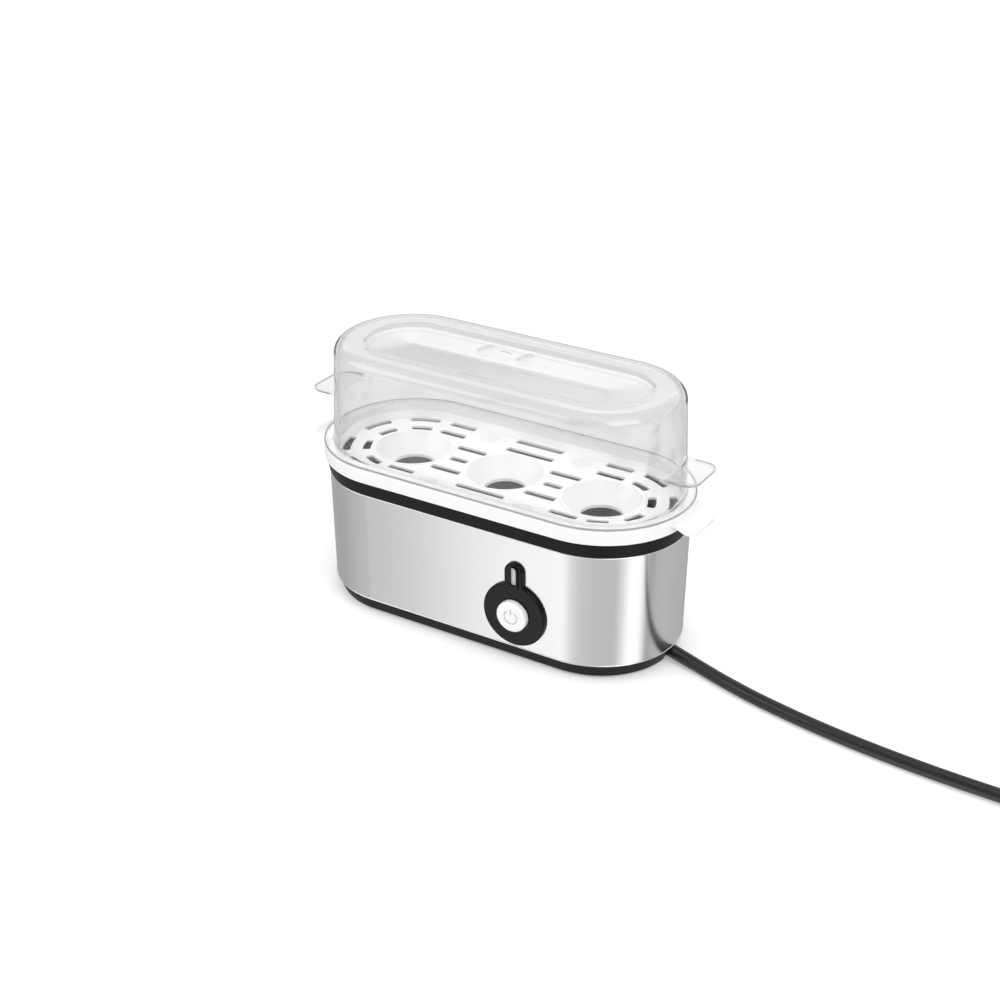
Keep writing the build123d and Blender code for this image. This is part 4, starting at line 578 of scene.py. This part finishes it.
# %% The sleeve's edges
ARC_POINTS = 49
turn = np.radians(np.linspace(-90, 90, ARC_POINTS))
outward = np.column_stack([np.cos(turn), np.sin(turn), np.zeros_like(turn)])
outward = np.vstack([outward, outward * (-1, -1, 1)])
ends = np.repeat([END_X, -END_X], len(turn))[:, None] * (1.0, 0.0, 0.0)
upward = np.tile(UP, (len(outward), 1))
ROLL_HALF = 0.3
ROLLS = [("sleeve_top_edge", 43.85, 69.75), ("sleeve_bottom_edge", 42.85, 8.95)]
# Each roll reflects the room, and its lightened steel paints the line brighter.
for name, radius, z in ROLLS:
    bead(name, "housing", "brushed_steel", "bright_edge", ends + outward * radius + upward * z,
         outward, upward, ROLL_HALF, ROLL_HALF, closed=True)

# %% [markdown]
# ## The clear lid's grey edges
# A clear sheet shows little of itself but its edge, which looks grey because the light that it
# lets through comes from far along the sheet. That grey is painted shade here: an opaque grey bead
# round the lid's flange, where it lies on the tray, and round its two lifting tabs. A tab's outline
# runs straight out, turns a quarter circle, and comes back mirrored.

# %% The flange's edge
FLANGE_EDGE_R, FLANGE_EDGE_Z = 45.92, 86.45
FLANGE_EDGE_HALVES = 0.35, 0.4
# An opaque grey bead, painted shade along the edge of the clear flange.
bead("lid_flange_edge", "lid", "clear_plastic", "sheet_edge",
     ends + outward * FLANGE_EDGE_R + upward * FLANGE_EDGE_Z, outward, upward,
     *FLANGE_EDGE_HALVES, closed=True)

# %% The tabs' edges
TAB_ROOT, TAB_BEND, TAB_HALF, TAB_RADIUS, TAB_EDGE_Z = 98.4, 104.1, 7.0, 7.2, 105.35
TAB_EDGE_HALVES, BEND_POINTS = (0.25, 0.35), 13
bend = np.radians(np.linspace(0, 90, BEND_POINTS))
tab_out = np.column_stack([np.sin(bend), -np.cos(bend), np.zeros_like(bend)])
quarter = (TAB_BEND, -TAB_HALF, TAB_EDGE_Z) + TAB_RADIUS * tab_out
centre = np.vstack([[(TAB_ROOT, quarter[0, 1], TAB_EDGE_Z)], quarter])
across = np.vstack([tab_out[:1], tab_out])
centre = np.vstack([centre, centre[::-1] * (1, -1, 1)])
across = np.vstack([across, across[::-1] * (1, -1, 1)])
# Opaque grey beads, painted shade along the edges of the clear tabs.
for name, way in (("lid_tab_edge_right", 1), ("lid_tab_edge_left", -1)):
    bead(name, "lid", "clear_plastic", "sheet_edge", centre * (way, 1, 1), across * (way, 1, 1),
         np.tile(UP, (len(centre), 1)), *TAB_EDGE_HALVES)

# %% [markdown]
# ## The on-off mark on the button
# The button carries the common mark of a broken ring with a bar in its gap, moulded into its
# dished face. The keyhole plate leans back with the sleeve's wall, 1 mm over 61.5 mm of height, so
# the mark has its own right, up and out.

# %% The button's mark
PANEL_AT = np.array([32.2, -43.2203, 28.3])
LEAN = math.atan2(1.0, 61.5)
PANEL_RIGHT = np.array([1.0, 0.0, 0.0])
PANEL_UP = np.array([0.0, -math.sin(LEAN), math.cos(LEAN)])
PANEL_OUT = np.array([0.0, -math.cos(LEAN), -math.sin(LEAN)])
DISH_LOW, DISH_SLOPE = 4.5, 0.5 / 6.1
MARK_R, MARK_HALF, MARK_HEIGHT = 3.6, 0.32, 0.12
GAP_DEGREES = 38
BAR_LOW, BAR_HIGH, BAR_POINTS = 1.6, 4.6, 9


def on_button(right, up):
    """Places on the button's dished face: out of the plate by DISH_LOW in the middle, and by
    DISH_SLOPE more for each millimetre from it."""
    out = DISH_LOW + DISH_SLOPE * np.hypot(right, up)
    return (PANEL_AT + np.outer(right, PANEL_RIGHT) + np.outer(up, PANEL_UP)
            + np.outer(out, PANEL_OUT))


turn = np.radians(np.linspace(GAP_DEGREES, 360 - GAP_DEGREES, ARC_POINTS))
radial = np.outer(np.sin(turn), PANEL_RIGHT) + np.outer(np.cos(turn), PANEL_UP)
bead("button_mark_ring", "button", "white_plastic", "grey_mark",
     on_button(MARK_R * np.sin(turn), MARK_R * np.cos(turn)), radial,
     np.tile(PANEL_OUT, (len(turn), 1)), MARK_HALF, MARK_HEIGHT)
rise = np.linspace(BAR_LOW, BAR_HIGH, BAR_POINTS)
bead("button_mark_bar", "button", "white_plastic", "grey_mark", on_button(0 * rise, rise),
     np.tile(PANEL_RIGHT, (len(rise), 1)), np.tile(PANEL_OUT, (len(rise), 1)), MARK_HALF,
     MARK_HEIGHT)

# %% [markdown]
# ## The arch between the vents
# Between the lid's two steam vents the picture shows a small raised arch. Its middle line is a
# parabola: its rise falls off with the square of the distance from its middle. The ridge is clear
# plastic, and its opaque grey is painted shade.

# %% The vent arch
ARCH_X, ARCH_Y, ARCH_Z = -7.4, 12.1, 138.74
ARCH_HALF, ARCH_RISE, ARCH_POINTS = 3.0, 1.3, 25
ARCH_BEAD_HALVES = 0.45, 0.2
share = np.linspace(-1, 1, ARCH_POINTS)
arch = np.column_stack([ARCH_X + ARCH_HALF * share, ARCH_Y + ARCH_RISE * (1 - share**2),
                        np.full(len(share), ARCH_Z)])
along = np.gradient(arch, axis=0)
along /= np.linalg.norm(along, axis=1)[:, None]
# The arch's opaque grey is painted shade on a ridge of clear plastic.
bead("vent_arch", "lid", "clear_plastic", "grey_mark", arch, np.cross(UP, along),
     np.tile(UP, (len(arch), 1)), *ARCH_BEAD_HALVES)

# %% [markdown]
# ## Update the scene
# The view layer is updated, so that every piece stands where it was put.

# %% Update the scene
bpy.context.view_layer.update()
